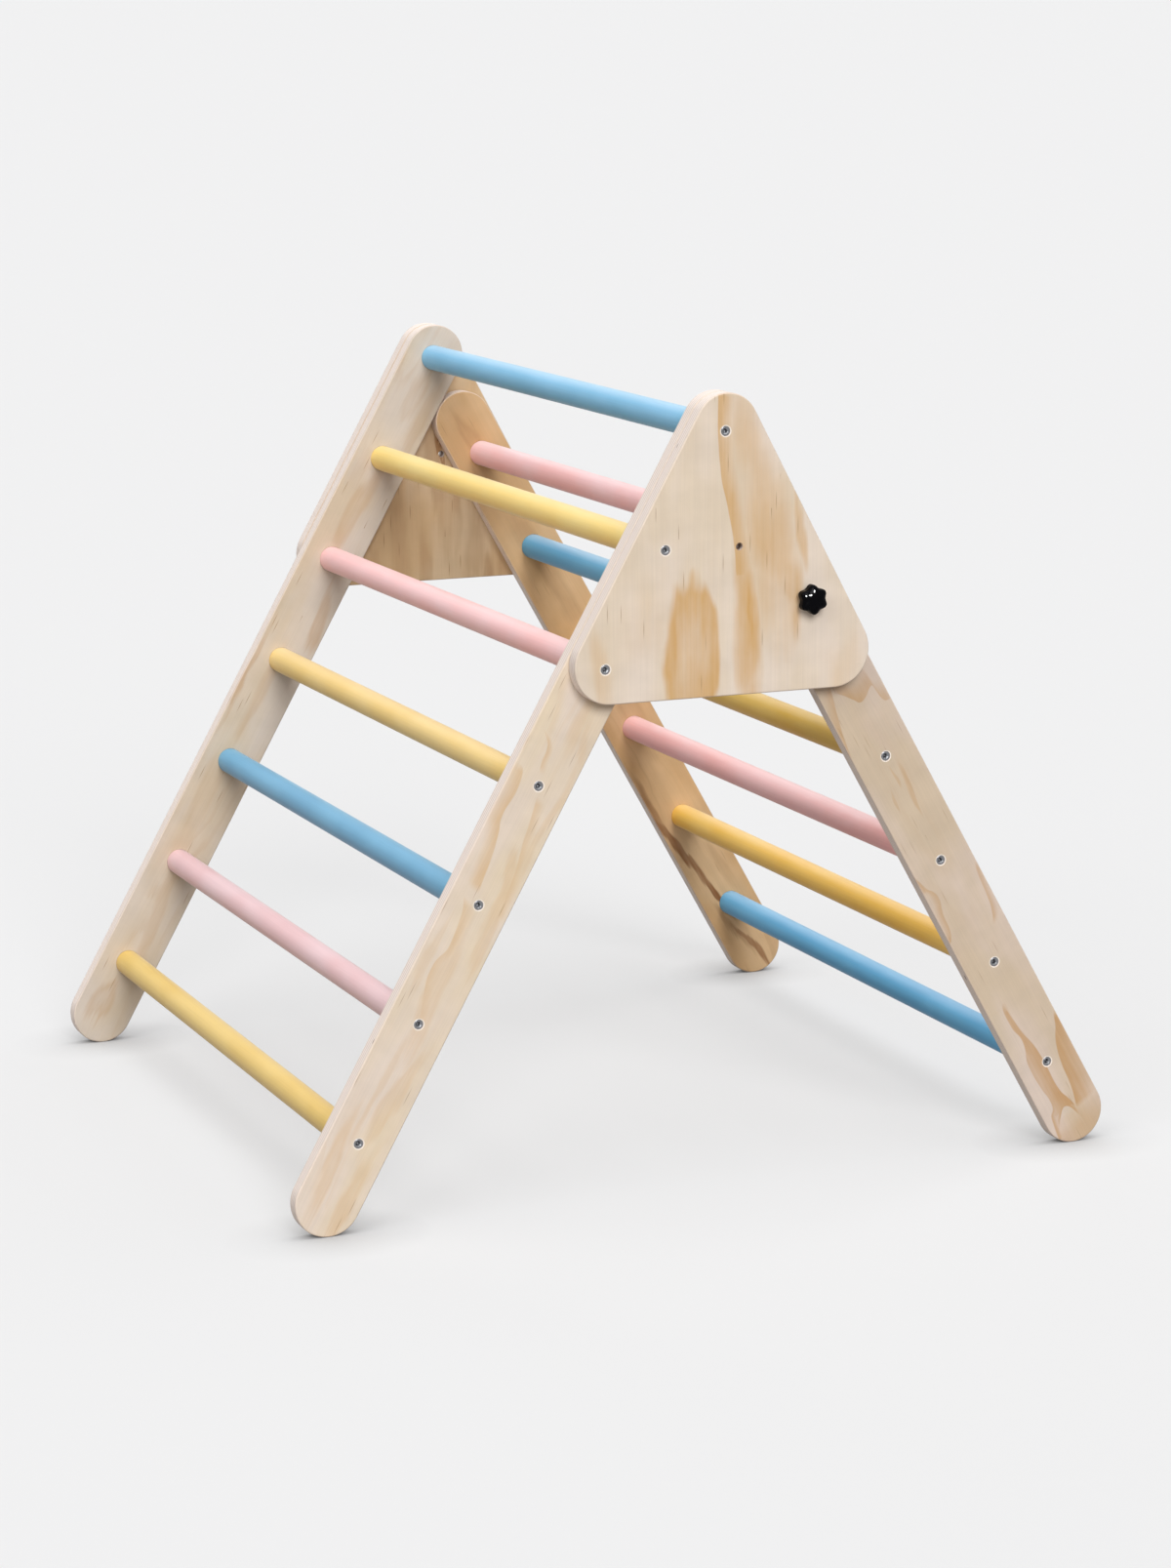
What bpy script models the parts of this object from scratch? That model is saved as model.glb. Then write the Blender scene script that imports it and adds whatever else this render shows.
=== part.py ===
"""Climbing triangle: a fixed front ladder with side plates and a folding rear ladder held by two knobs.

Metres, +Z up. X runs along the rungs, the front ladder's feet stand towards -Y and the rear ones
towards +Y. The origin is on the floor, midway between the front and the rear feet.
"""
from math import asin, ceil, cos, pi, radians, sin

import bmesh
import bpy
from mathutils import Vector

# Ladders
RAIL_WIDTH = 0.072
RAIL_THICKNESS = 0.018
INNER_WIDTH = 0.825
RUNG_DIAMETER = 0.030
RUNG_SPACING = 0.1375
FRONT_RUNG_COUNT = 7
REAR_RUNG_COUNT = 6
FRONT_LEAN = radians(29.4)
REAR_LEAN = radians(29.4)
FRONT_TOP_END = 0.004       # first rung's centre to the centre of the front rail's round top
REAR_TOP_END = 0.047        # the same on the rear rail
FOOT_END = 0.069            # last rung's centre to the centre of the round foot
FOOT_FLAT = 0.004           # worn flat under each foot
RAIL_ARRIS = 0.002          # rounding along the rails' edges
RUNG_SEAT_DEPTH = 0.004     # how far each rung goes into the rails
STOP_GAP = 0.0003           # rear rail's round top to the front rail's rear edge

# Side plates
PLATE_THICKNESS = 0.018
PLATE_MARGIN = 0.0372       # its lowest rung's centre down to its lower edge
PLATE_REAR_LEAN = radians(28.2)
PLATE_CORNER_RADIUS = 0.040
PLATE_ARRIS = 0.002
PLATE_RUNG_COUNT = 3        # rungs whose screws also hold the plate
STORAGE_HOLE_DROP = 0.0973  # first rung's centre to the storage hole, along the front rail
STORAGE_GAP = 0.001         # between the rails when the rear ladder is stored

# Connecting screws
SCREW_HEAD_DIAMETER = 0.010
SCREW_CONE_DEPTH = 0.0030
SCREW_SHANK_DIAMETER = 0.0064
SCREW_TIP_DEPTH = 0.004
SCREW_TIP_DIAMETER = 0.002
SCREW_RECESS = 0.0003        # the heads lie this far below the wood
COUNTERSINK_MARGIN = 0.0008  # bare wood around each head, at the face
RAIL_SCREW_LENGTH = 0.050
PLATE_SCREW_LENGTH = 0.070
HEX_SOCKET_WIDTH = 0.004
HEX_SOCKET_DEPTH = 0.002

# Knobs, studs, washers and threaded inserts
STUD_DIAMETER = 0.0079
STUD_LENGTH = 0.040
STUD_CHAMFER = 0.0008
STUD_GRIP = 0.009           # length moulded into the knob
INSERT_DIAMETER = 0.012
INSERT_LENGTH = 0.013
WASHER_DIAMETER = 0.017
WASHER_THICKNESS = 0.0016
KNOB_DIAMETER = 0.032
KNOB_LOBE_DEPTH = 0.0028    # lobe tip to valley, measured on the radius
KNOB_LOBE_COUNT = 6
KNOB_NECK_DIAMETER = 0.016
KNOB_NECK_HEIGHT = 0.003
KNOB_RIM_HEIGHT = 0.0095
KNOB_DOME_HEIGHT = 0.0035
KNOB_TURN = radians(4)      # a lobe's tip from upright, as the knobs happen to stand

# Clearances and overruns
FACE_GAP = 0.0003           # between flat faces that touch on the real object
FIT_CLEARANCE = 0.0003      # around a round piece in its hole
CUT_OVERRUN = 0.002

# Facets
RAIL_END_STEPS = 16
PLATE_CORNER_STEPS = 9
ARRIS_STEPS = 2
RUNG_SIDES = 20
HOLE_SIDES = 20
SOCKET_SIDES = 6
SCREW_SIDES = 2 * SOCKET_SIDES
STUD_SIDES = 16
KNOB_STEPS_PER_LOBE = 6
SMOOTH_ANGLE = radians(50)

# Sizes that follow from the ones above
FRONT_TILT = -FRONT_LEAN
REAR_TILT = REAR_LEAN
RAIL_HALF = RAIL_WIDTH / 2
INNER_FACE = INNER_WIDTH / 2
SEAT_BOTTOM = INNER_FACE + RUNG_SEAT_DEPTH
RAIL_OUTER_FACE = INNER_FACE + RAIL_THICKNESS
PLATE_INNER_FACE = RAIL_OUTER_FACE + FACE_GAP
PLATE_OUTER_FACE = PLATE_INNER_FACE + PLATE_THICKNESS
PLATE_DROP = (PLATE_RUNG_COUNT - 1) * RUNG_SPACING * cos(FRONT_LEAN) + PLATE_MARGIN
KNOB_BASE = PLATE_OUTER_FACE + 2 * FACE_GAP + WASHER_THICKNESS
STUD_START = KNOB_BASE + STUD_GRIP - STUD_LENGTH
INSERT_START = RAIL_OUTER_FACE - FACE_GAP - INSERT_LENGTH
FRONT_LADDER_LENGTH = (FRONT_RUNG_COUNT - 1) * RUNG_SPACING
REAR_LADDER_LENGTH = (REAR_RUNG_COUNT - 1) * RUNG_SPACING
PILOT_RADIUS = SCREW_SHANK_DIAMETER / 2 + FIT_CLEARANCE
STUD_HOLE_RADIUS = STUD_DIAMETER / 2 + FIT_CLEARANCE
FOOT_FLAT_HALF_ANGLE = asin(FOOT_FLAT / 2 / RAIL_HALF)
FOOT_HEIGHT = RAIL_HALF * cos(FOOT_FLAT_HALF_ANGLE)

WOOD = ((0.80, 0.66, 0.48), 0.55, 0.0)
BLUE = ((0.22, 0.47, 0.68), 0.5, 0.0)
YELLOW = ((0.88, 0.62, 0.22), 0.5, 0.0)
PINK = ((0.85, 0.50, 0.53), 0.5, 0.0)
ZINC = ((0.55, 0.55, 0.55), 0.35, 1.0)
BRASS = ((0.75, 0.58, 0.28), 0.35, 1.0)
BLACK = ((0.01, 0.01, 0.012), 0.15, 0.0)

FRONT_RUNG_PAINTS = (BLUE, YELLOW, PINK, YELLOW, BLUE, PINK, YELLOW)
REAR_RUNG_PAINTS = (PINK, BLUE, YELLOW, PINK, YELLOW, BLUE)
SIDES = (("left", -1), ("right", 1))


def along(tilt, distance):
    """A step down a rail whose foot is tilted towards +y, as a (y, z) pair."""
    return Vector((sin(tilt), -cos(tilt))) * distance


def across(tilt, distance):
    """A step square to such a rail, towards +y."""
    return Vector((cos(tilt), sin(tilt))) * distance


# Places in the (y, z) plane, measured from the front ladder's first rung
FRONT_TOP_RUNG_Z = (FOOT_END + FRONT_LADDER_LENGTH) * cos(FRONT_LEAN) + FOOT_HEIGHT
REAR_TOP_RUNG_Z = (FOOT_END + REAR_LADDER_LENGTH) * cos(REAR_LEAN) + FOOT_HEIGHT
REAR_TOP_ARC_Z = REAR_TOP_RUNG_Z + REAR_TOP_END * cos(REAR_LEAN)
STOP_STEP = across(FRONT_TILT, RAIL_WIDTH + STOP_GAP)
STOP_DROP = (FRONT_TOP_RUNG_Z + STOP_STEP.y - REAR_TOP_ARC_Z) / cos(FRONT_LEAN)
REAR_TOP_ARC = STOP_STEP + along(FRONT_TILT, STOP_DROP)
REAR_TOP_RUNG = REAR_TOP_ARC + along(REAR_TILT, REAR_TOP_END)
KNOB_AXIS = REAR_TOP_RUNG + along(REAR_TILT, RUNG_SPACING / 2)
FRONT_FOOT = along(FRONT_TILT, FRONT_LADDER_LENGTH + FOOT_END)
REAR_FOOT = REAR_TOP_RUNG + along(REAR_TILT, REAR_LADDER_LENGTH + FOOT_END)
APEX_Y = -(FRONT_FOOT.x + REAR_FOOT.x) / 2
STORAGE_HOLE = across(FRONT_TILT, RAIL_WIDTH + STORAGE_GAP) + along(FRONT_TILT, STORAGE_HOLE_DROP)


def clear_scene():
    for old in list(bpy.data.objects):
        bpy.data.objects.remove(old, do_unlink=True)


def empty(name, parent=None, place=(0, 0, 0), tilt=0.0):
    """A frame that pieces hang on, turned about X."""
    made = bpy.data.objects.new(name, None)
    made.parent = parent
    made.location = place
    made.rotation_euler = (tilt, 0, 0)
    bpy.context.scene.collection.objects.link(made)
    return made


def solid(name, shape, parent, place):
    """An object from a finished bmesh, with its faces pointing out and its round faces smooth."""
    bmesh.ops.recalc_face_normals(shape, faces=shape.faces)
    mesh = bpy.data.meshes.new(name)
    shape.to_mesh(mesh)
    shape.free()
    mesh.shade_smooth()
    mesh.set_sharp_from_angle(angle=SMOOTH_ANGLE)
    made = bpy.data.objects.new(name, mesh)
    made.parent = parent
    made.location = place
    bpy.context.scene.collection.objects.link(made)
    return made


def piece(name, shape, finish, parent, place=(0, 0, 0)):
    """A sub-part with a material of its own."""
    colour, roughness, metallic = finish
    made = solid(name, shape, parent, place)
    look = bpy.data.materials.new(name + "_finish")
    look.use_nodes = True
    shader = look.node_tree.nodes["Principled BSDF"]
    shader.inputs["Base Color"].default_value = (*colour, 1.0)
    shader.inputs["Roughness"].default_value = roughness
    shader.inputs["Metallic"].default_value = metallic
    made.data.materials.append(look)
    return made


def cut(target, *shapes):
    """Take shapes, given in the target's parent frame, out of the target, whose flat faces stay flat."""
    for shape in shapes:
        cutter = solid(target.name + "_cutter", shape, target.parent, (0, 0, 0))
        cutter.hide_render = True
        cutter.display_type = "WIRE"
        boolean = target.modifiers.new("cut", "BOOLEAN")
        boolean.operation = "DIFFERENCE"
        boolean.solver = "EXACT"
        boolean.object = cutter
    shading = target.modifiers.new("shading", "WEIGHTED_NORMAL")
    shading.keep_sharp = True


def arc(centre, radius, start, end, steps):
    """Points on an arc in (y, z), with angles from straight down towards +y."""
    angles = [start + (end - start) * i / steps for i in range(steps + 1)]
    return [centre + Vector((sin(a), -cos(a))) * radius for a in angles]


def board(outline, thickness, arris):
    """A flat board in the YZ plane, centred on x = 0, with the edges of both faces rounded."""
    shape = bmesh.new()
    face = shape.faces.new([shape.verts.new((-thickness / 2, y, z)) for y, z in outline])
    grown = bmesh.ops.extrude_face_region(shape, geom=[face])
    moved = [v for v in grown["geom"] if isinstance(v, bmesh.types.BMVert)]
    bmesh.ops.translate(shape, verts=moved, vec=(thickness, 0, 0))
    rims = [e for e in shape.edges if e.verts[0].co.x * e.verts[1].co.x > 0]
    bmesh.ops.bevel(shape, geom=rims, offset=arris, segments=ARRIS_STEPS, profile=0.5, affect="EDGES")
    return shape


def ring(shape, x, centre, radii):
    """Vertices round a centre, in the plane at x, with one radius for each."""
    y, z = centre
    angles = [2 * pi * i / len(radii) for i in range(len(radii))]
    return [shape.verts.new((x, y + r * sin(a), z + r * cos(a))) for r, a in zip(radii, angles)]


def bridge(shape, lower, upper):
    for i in range(len(lower)):
        shape.faces.new((lower[i - 1], lower[i], upper[i], upper[i - 1]))


def skin(shape, rings):
    """Join a row of rings and close both its ends."""
    for lower, upper in zip(rings, rings[1:]):
        bridge(shape, lower, upper)
    shape.faces.new(rings[0])
    shape.faces.new(rings[-1])


def turned(profile, sides, side=1, centres=((0, 0),)):
    """Turned solids along X, one at each centre, from (x, radius) pairs; side -1 runs them to -x."""
    shape = bmesh.new()
    for centre in centres:
        skin(shape, [ring(shape, side * x, centre, [radius] * sides) for x, radius in profile])
    return shape


def tube(start, length, diameter, side):
    """A plain ring around the stud."""
    shape = bmesh.new()
    profile = [
        (start, diameter / 2),
        (start + length, diameter / 2),
        (start + length, STUD_HOLE_RADIUS),
        (start, STUD_HOLE_RADIUS),
    ]
    rings = [ring(shape, side * x, (0, 0), [radius] * HOLE_SIDES) for x, radius in profile]
    for lower, upper in zip(rings, rings[1:] + rings[:1]):
        bridge(shape, lower, upper)
    return shape


def rung_places(first, count):
    """Rung centres in a ladder's own frame, whose Z runs up the rails."""
    return [(0, first - i * RUNG_SPACING) for i in range(count)]


def rail_outline(places, top_end, tilt):
    """A rail with half-round ends and a small flat where its foot meets the floor."""
    top = Vector(places[0]) + Vector((0, top_end))
    foot = Vector(places[-1]) - Vector((0, FOOT_END))
    flat_start = -tilt - FOOT_FLAT_HALF_ANGLE
    flat_end = -tilt + FOOT_FLAT_HALF_ANGLE
    before = ceil(RAIL_END_STEPS * (flat_start + pi / 2) / pi)
    after = ceil(RAIL_END_STEPS * (pi / 2 - flat_end) / pi)
    points = arc(foot, RAIL_HALF, -pi / 2, flat_start, before)
    points += arc(foot, RAIL_HALF, flat_end, pi / 2, after)
    points += arc(top, RAIL_HALF, pi / 2, 3 * pi / 2, RAIL_END_STEPS)
    return points


def countersunk_hole(face, bottom):
    """Profile of a screw's hole from above the face down to its bottom."""
    head = SCREW_HEAD_DIAMETER / 2 + FIT_CLEARANCE
    rim = face - SCREW_RECESS
    spread = COUNTERSINK_MARGIN / SCREW_RECESS
    return [
        (face + CUT_OVERRUN, head + spread * (SCREW_RECESS + CUT_OVERRUN)),
        (rim, head),
        (rim - SCREW_CONE_DEPTH, PILOT_RADIUS),
        (bottom, PILOT_RADIUS),
    ]


def through_hole(face, bottom):
    return [(face + CUT_OVERRUN, PILOT_RADIUS), (bottom, PILOT_RADIUS)]


def rung_seat():
    """Profile that widens a screw's hole to the rung, out through the rail's inner face."""
    radius = RUNG_DIAMETER / 2 + FIT_CLEARANCE
    return [(SEAT_BOTTOM, radius), (INNER_FACE - CUT_OVERRUN, radius)]


def rail(name, side, parent, outline):
    middle = side * (INNER_FACE + RAIL_THICKNESS / 2)
    return piece(name, board(outline, RAIL_THICKNESS, RAIL_ARRIS), WOOD, parent, (middle, 0, 0))


def rung(name, paint, parent, place):
    """A dowel with a hole in each end for its screw."""
    end = SEAT_BOTTOM - FACE_GAP
    bottom = PLATE_OUTER_FACE - PLATE_SCREW_LENGTH - CUT_OVERRUN
    half = [(bottom, PILOT_RADIUS), (end, PILOT_RADIUS), (end, RUNG_DIAMETER / 2)]
    profile = half + [(-x, radius) for x, radius in reversed(half)]
    piece(name, turned(profile, RUNG_SIDES), paint, parent, (0, *place))


def screw(name, side, parent, face, length, place):
    """A flat-headed connecting screw with a hexagon socket."""
    top = face - SCREW_RECESS
    tip = top - length
    corner = HEX_SOCKET_WIDTH / 2 / cos(pi / SOCKET_SIDES)
    hexagon = [corner, HEX_SOCKET_WIDTH / 2] * SOCKET_SIDES
    profile = [
        (tip, SCREW_TIP_DIAMETER / 2),
        (tip + SCREW_TIP_DEPTH, SCREW_SHANK_DIAMETER / 2),
        (top - SCREW_CONE_DEPTH, SCREW_SHANK_DIAMETER / 2),
        (top, SCREW_HEAD_DIAMETER / 2),
    ]
    shape = bmesh.new()
    rings = [ring(shape, side * x, (0, 0), [radius] * SCREW_SIDES) for x, radius in profile]
    rings += [ring(shape, side * x, (0, 0), hexagon) for x in (top, top - HEX_SOCKET_DEPTH)]
    skin(shape, rings)
    piece(name, shape, ZINC, parent, (0, *place))


def corner_centre(top, tilt, inset):
    """Centre of a lower corner's arc, which touches a sloping edge of the plate and its lower edge.

    The inset is square to the sloping edge, from the line through the top arc's centre.
    """
    offset = across(tilt, inset)
    drop = top.y + offset.y + PLATE_DROP - PLATE_CORNER_RADIUS
    return top + offset + along(tilt, drop / cos(tilt))


def plate_outline():
    """A rounded triangle in world directions, from the front ladder's first rung.

    Its front edge is flush with the front rail, its lower edge is level, and its rear edge runs a
    little beyond the rear rail.
    """
    radius = PLATE_CORNER_RADIUS
    top = along(FRONT_TILT, -FRONT_TOP_END)
    front = corner_centre(top, FRONT_TILT, radius - RAIL_HALF)
    rear = corner_centre(top, PLATE_REAR_LEAN, RAIL_HALF - radius)
    rear_normal = pi / 2 + PLATE_REAR_LEAN
    front_normal = 3 * pi / 2 + FRONT_TILT
    points = arc(rear, radius, 0, rear_normal, PLATE_CORNER_STEPS)
    points += arc(top, RAIL_HALF, rear_normal, front_normal, RAIL_END_STEPS)
    points += arc(front, radius, front_normal, 2 * pi, PLATE_CORNER_STEPS)
    return points


def side_plate(word, side, parent):
    middle = side * (PLATE_INNER_FACE + PLATE_THICKNESS / 2)
    shape = board(plate_outline(), PLATE_THICKNESS, PLATE_ARRIS)
    made = piece("side_plate_" + word, shape, WOOD, parent, (middle, 0, 0))
    bottom = PLATE_INNER_FACE - CUT_OVERRUN
    rungs = [along(FRONT_TILT, i * RUNG_SPACING) for i in range(PLATE_RUNG_COUNT)]
    screw_holes = turned(countersunk_hole(PLATE_OUTER_FACE, bottom), HOLE_SIDES, side, rungs)
    bore = [(PLATE_OUTER_FACE + CUT_OVERRUN, STUD_HOLE_RADIUS), (bottom, STUD_HOLE_RADIUS)]
    cut(made, screw_holes, turned(bore, HOLE_SIDES, side, [KNOB_AXIS, STORAGE_HOLE]))


def front_frame(apex):
    """Front rails, side plates, rungs and their screws."""
    ladder = empty("front_ladder", apex, tilt=FRONT_TILT)
    places = rung_places(0, FRONT_RUNG_COUNT)
    outline = rail_outline(places, FRONT_TOP_END, FRONT_TILT)
    under_plate = through_hole(RAIL_OUTER_FACE, SEAT_BOTTOM) + rung_seat()
    in_view = countersunk_hole(RAIL_OUTER_FACE, SEAT_BOTTOM) + rung_seat()
    for word, side in SIDES:
        made = rail("front_rail_" + word, side, ladder, outline)
        upper = turned(under_plate, HOLE_SIDES, side, places[:PLATE_RUNG_COUNT])
        cut(made, upper, turned(in_view, HOLE_SIDES, side, places[PLATE_RUNG_COUNT:]))
        side_plate(word, side, apex)
    for number, (place, paint) in enumerate(zip(places, FRONT_RUNG_PAINTS), 1):
        rung("front_rung_%d" % number, paint, ladder, place)
        for word, side in SIDES:
            if number <= PLATE_RUNG_COUNT:
                name = "plate_screw_%s_%d" % (word, number)
                screw(name, side, ladder, PLATE_OUTER_FACE, PLATE_SCREW_LENGTH, place)
            else:
                name = "front_rail_screw_%s_%d" % (word, number)
                screw(name, side, ladder, RAIL_OUTER_FACE, RAIL_SCREW_LENGTH, place)


def rear_ladder(pivot):
    """Rear rails, rungs, screws and threaded inserts; the pivot lies on the axis through both knobs."""
    places = rung_places(RUNG_SPACING / 2, REAR_RUNG_COUNT)
    outline = rail_outline(places, REAR_TOP_END, REAR_TILT)
    rung_hole = countersunk_hole(RAIL_OUTER_FACE, SEAT_BOTTOM) + rung_seat()
    well_radius = INSERT_DIAMETER / 2 + FIT_CLEARANCE
    well_bottom = min(INSERT_START, STUD_START) - FACE_GAP
    well = [(RAIL_OUTER_FACE + CUT_OVERRUN, well_radius), (well_bottom, well_radius)]
    for word, side in SIDES:
        made = rail("rear_rail_" + word, side, pivot, outline)
        cut(made, turned(rung_hole, HOLE_SIDES, side, places), turned(well, HOLE_SIDES, side))
        insert = tube(INSERT_START, INSERT_LENGTH, INSERT_DIAMETER, side)
        piece("threaded_insert_" + word, insert, BRASS, pivot)
    for number, (place, paint) in enumerate(zip(places, REAR_RUNG_PAINTS), 1):
        rung("rear_rung_%d" % number, paint, pivot, place)
        for word, side in SIDES:
            name = "rear_rail_screw_%s_%d" % (word, number)
            screw(name, side, pivot, RAIL_OUTER_FACE, RAIL_SCREW_LENGTH, place)


def knob_shape(side):
    """A lobed head with a domed top on a round neck, bored from below for its stud."""
    head = KNOB_BASE + KNOB_NECK_HEIGHT
    shoulder = head + KNOB_RIM_HEIGHT
    steps = KNOB_LOBE_COUNT * KNOB_STEPS_PER_LOBE
    valleys = [(1 - cos(2 * pi * i / KNOB_STEPS_PER_LOBE)) / 2 for i in range(steps)]
    round_profile = [
        (KNOB_BASE + STUD_GRIP + FACE_GAP, STUD_HOLE_RADIUS),
        (KNOB_BASE, STUD_HOLE_RADIUS),
        (KNOB_BASE, KNOB_NECK_DIAMETER / 2),
        (head, KNOB_NECK_DIAMETER / 2),
    ]
    # Shares of the head's radius, of the lobes' depth and of the rim's or the dome's height
    rim_shares = ((0.92, 1.0, 0.0), (1.0, 1.0, 0.14), (1.0, 1.0, 0.86))
    dome_shares = ((0.95, 1.0, 0.10), (0.84, 0.8, 0.45), (0.62, 0.4, 0.78), (0.28, 0.1, 1.0))
    levels = [(head + KNOB_RIM_HEIGHT * rise, size, lobe) for size, lobe, rise in rim_shares]
    levels += [(shoulder + KNOB_DOME_HEIGHT * rise, size, lobe) for size, lobe, rise in dome_shares]
    shape = bmesh.new()
    rings = [ring(shape, side * x, (0, 0), [radius] * steps) for x, radius in round_profile]
    for x, size, lobe in levels:
        radii = [KNOB_DIAMETER / 2 * size - KNOB_LOBE_DEPTH * lobe * valley for valley in valleys]
        rings.append(ring(shape, side * x, (0, 0), radii))
    skin(shape, rings)
    return shape


def knob(word, side, pivot):
    """A knob, the stud that is moulded into it and the washer beneath it."""
    axis = empty("knob_axis_" + word, pivot, tilt=KNOB_TURN - REAR_TILT)
    piece("knob_" + word, knob_shape(side), BLACK, axis)
    radius = STUD_DIAMETER / 2
    chamfer_end = STUD_START + STUD_CHAMFER
    stud = [(STUD_START, radius - STUD_CHAMFER), (chamfer_end, radius), (STUD_START + STUD_LENGTH, radius)]
    piece("knob_stud_" + word, turned(stud, STUD_SIDES, side), ZINC, pivot)
    washer = tube(PLATE_OUTER_FACE + FACE_GAP, WASHER_THICKNESS, WASHER_DIAMETER, side)
    piece("knob_washer_" + word, washer, ZINC, pivot)


def main():
    clear_scene()
    apex = empty("apex", place=(0, APEX_Y, FRONT_TOP_RUNG_Z))
    pivot = empty("rear_ladder_pivot", apex, (0, *KNOB_AXIS), REAR_TILT)
    front_frame(apex)
    rear_ladder(pivot)
    for word, side in SIDES:
        knob(word, side, pivot)


main()
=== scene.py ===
# %% [markdown]
# A folding climbing triangle for small children. Two ladders of plywood rails and painted rungs lean
# against each other under two plywood side plates, and a black star knob on each side clamps the
# rear ladder. The engineering model is loaded first and stays as it is. Every visible piece is then
# built around it at the same place, in metres, with X along the rungs and Z up.

# %% Load the fixed frame
from math import atan2, cos, pi, radians, sin

import bmesh
import bpy
from mathutils import Matrix, Vector


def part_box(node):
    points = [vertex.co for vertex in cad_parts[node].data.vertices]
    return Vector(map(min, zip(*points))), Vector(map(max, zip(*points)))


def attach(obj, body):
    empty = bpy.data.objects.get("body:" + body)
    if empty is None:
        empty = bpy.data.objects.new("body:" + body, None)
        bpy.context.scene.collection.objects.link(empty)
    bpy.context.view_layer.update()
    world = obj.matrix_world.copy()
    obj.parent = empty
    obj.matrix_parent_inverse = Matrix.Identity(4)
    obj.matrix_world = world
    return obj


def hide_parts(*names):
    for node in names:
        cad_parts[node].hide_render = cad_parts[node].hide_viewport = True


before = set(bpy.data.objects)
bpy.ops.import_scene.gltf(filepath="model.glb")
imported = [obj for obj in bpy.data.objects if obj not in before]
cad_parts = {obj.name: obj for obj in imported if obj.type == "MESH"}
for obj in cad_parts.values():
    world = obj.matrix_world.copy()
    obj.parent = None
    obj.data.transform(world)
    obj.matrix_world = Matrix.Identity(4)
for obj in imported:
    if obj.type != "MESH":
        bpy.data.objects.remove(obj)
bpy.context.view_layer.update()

# %% [markdown]
# Lengths are written in millimetres, as on a maker's drawing, and turned to metres where a mesh or a
# lamp needs them. The names say what each length is on the real object. Where a ladder or a knob
# stands is read from the frame, because the middle of a round piece's box is its axis.

# %% Sizes of the pieces
MM = 0.001
RAIL_WIDTH, BOARD_THICKNESS, INNER_FACE = 72, 18, 412.5
RUNG_RADIUS, RUNG_SPACING, SEAT_DEPTH = 15, 137.5, 4
WASHER_THICKNESS = 1.6
FIT, FACE_GAP = 0.3, 0.3
HALF = BOARD_THICKNESS / 2
RAIL_OUTER = INNER_FACE + BOARD_THICKNESS
PLATE_OUTER = RAIL_OUTER + FACE_GAP + BOARD_THICKNESS
LEAN = radians(29.4)
SIDES = (("left", -1), ("right", 1))


def axis_of(node):
    """Where the axis of a round node of the frame lies, as y and z."""
    low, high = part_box(node)
    return tuple((low[i] + high[i]) / 2 / MM for i in (1, 2))


LADDERS = {
    # top_end goes from the first rung up to the centre of the rails' round tops
    "front": {"body": "front_frame", "first_rung": axis_of("front_rung_1"), "rungs": 7, "top_end": 4,
              "tilt": -LEAN},
    "rear": {"body": "rear_ladder", "first_rung": axis_of("rear_rung_1"), "rungs": 6, "top_end": 47,
             "tilt": LEAN},
}
PLATE_SCREWED = 3  # the front rungs whose screws also hold a side plate
KNOB_AXIS = axis_of("knob_stud_right")


def down(tilt, length):
    """The step in y and z that leads a length down a rail."""
    return length * sin(tilt), -length * cos(tilt)


def rung_place(ladder, number):
    """Where a rung's axis lies, as y and z; number 1 is the top rung."""
    step = down(ladder["tilt"], (number - 1) * RUNG_SPACING)
    return ladder["first_rung"][0] + step[0], ladder["first_rung"][1] + step[1]


for kind, ladder in LADDERS.items():
    print(kind, "ladder's first rung at y, z in mm:", [round(v, 2) for v in ladder["first_rung"]])
print("knob axis at y, z in mm:", [round(v, 2) for v in KNOB_AXIS])

# %% [markdown]
# The camera stands 4.3 metres to the right of the object's middle, 1.7 metres in front of it and
# almost half a metre above its top, and looks down by 11.5 degrees. A long lens keeps the rungs
# nearly parallel. Its focal length is given in pixels of a frame 1200 pixels wide.

# %% Camera
FOCAL_PX, FRAME_WIDTH_PX = 4192.23, 1200
camera = bpy.data.objects.new("camera", bpy.data.cameras.new("camera"))
bpy.context.scene.collection.objects.link(camera)
camera.location = (4.26895, -1.73234, 1.29699)
camera.rotation_euler = (radians(78.519), radians(0.270), radians(67.509))
camera.data.sensor_fit = "HORIZONTAL"
camera.data.sensor_width = 36.0
camera.data.lens = FOCAL_PX / FRAME_WIDTH_PX * camera.data.sensor_width
bpy.context.scene.camera = camera
print("lens:", round(camera.data.lens, 1), "mm")

# %% [markdown]
# Colours are read off as sRGB hex values, as on a paint card. Blender counts light linearly, so one
# function turns a hex value to linear red, green and blue.

# %% Colours from hex values
def linear(hex_value):
    """Linear RGBA from an sRGB hex value such as "#E0D0BF"."""
    shares = [int(hex_value[i:i + 2], 16) / 255 for i in (1, 3, 5)]
    channels = [s / 12.92 if s <= 0.04045 else ((s + 0.055) / 1.055) ** 2.4 for s in shares]
    return (*channels, 1.0)


print("mid grey #808080 is", round(linear("#808080")[0], 3), "in linear light")

# %% [markdown]
# Every finish below is a small network of nodes. One function adds a node, gives it its settings and
# fills its inputs, each with a value or with a link from another node. A network is written from its
# first pattern to its surface shader, so that each line can use the ones above it. Two more helpers
# make what many finishes share: soft patches of a real size, and a tone that follows a pattern.

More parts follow.
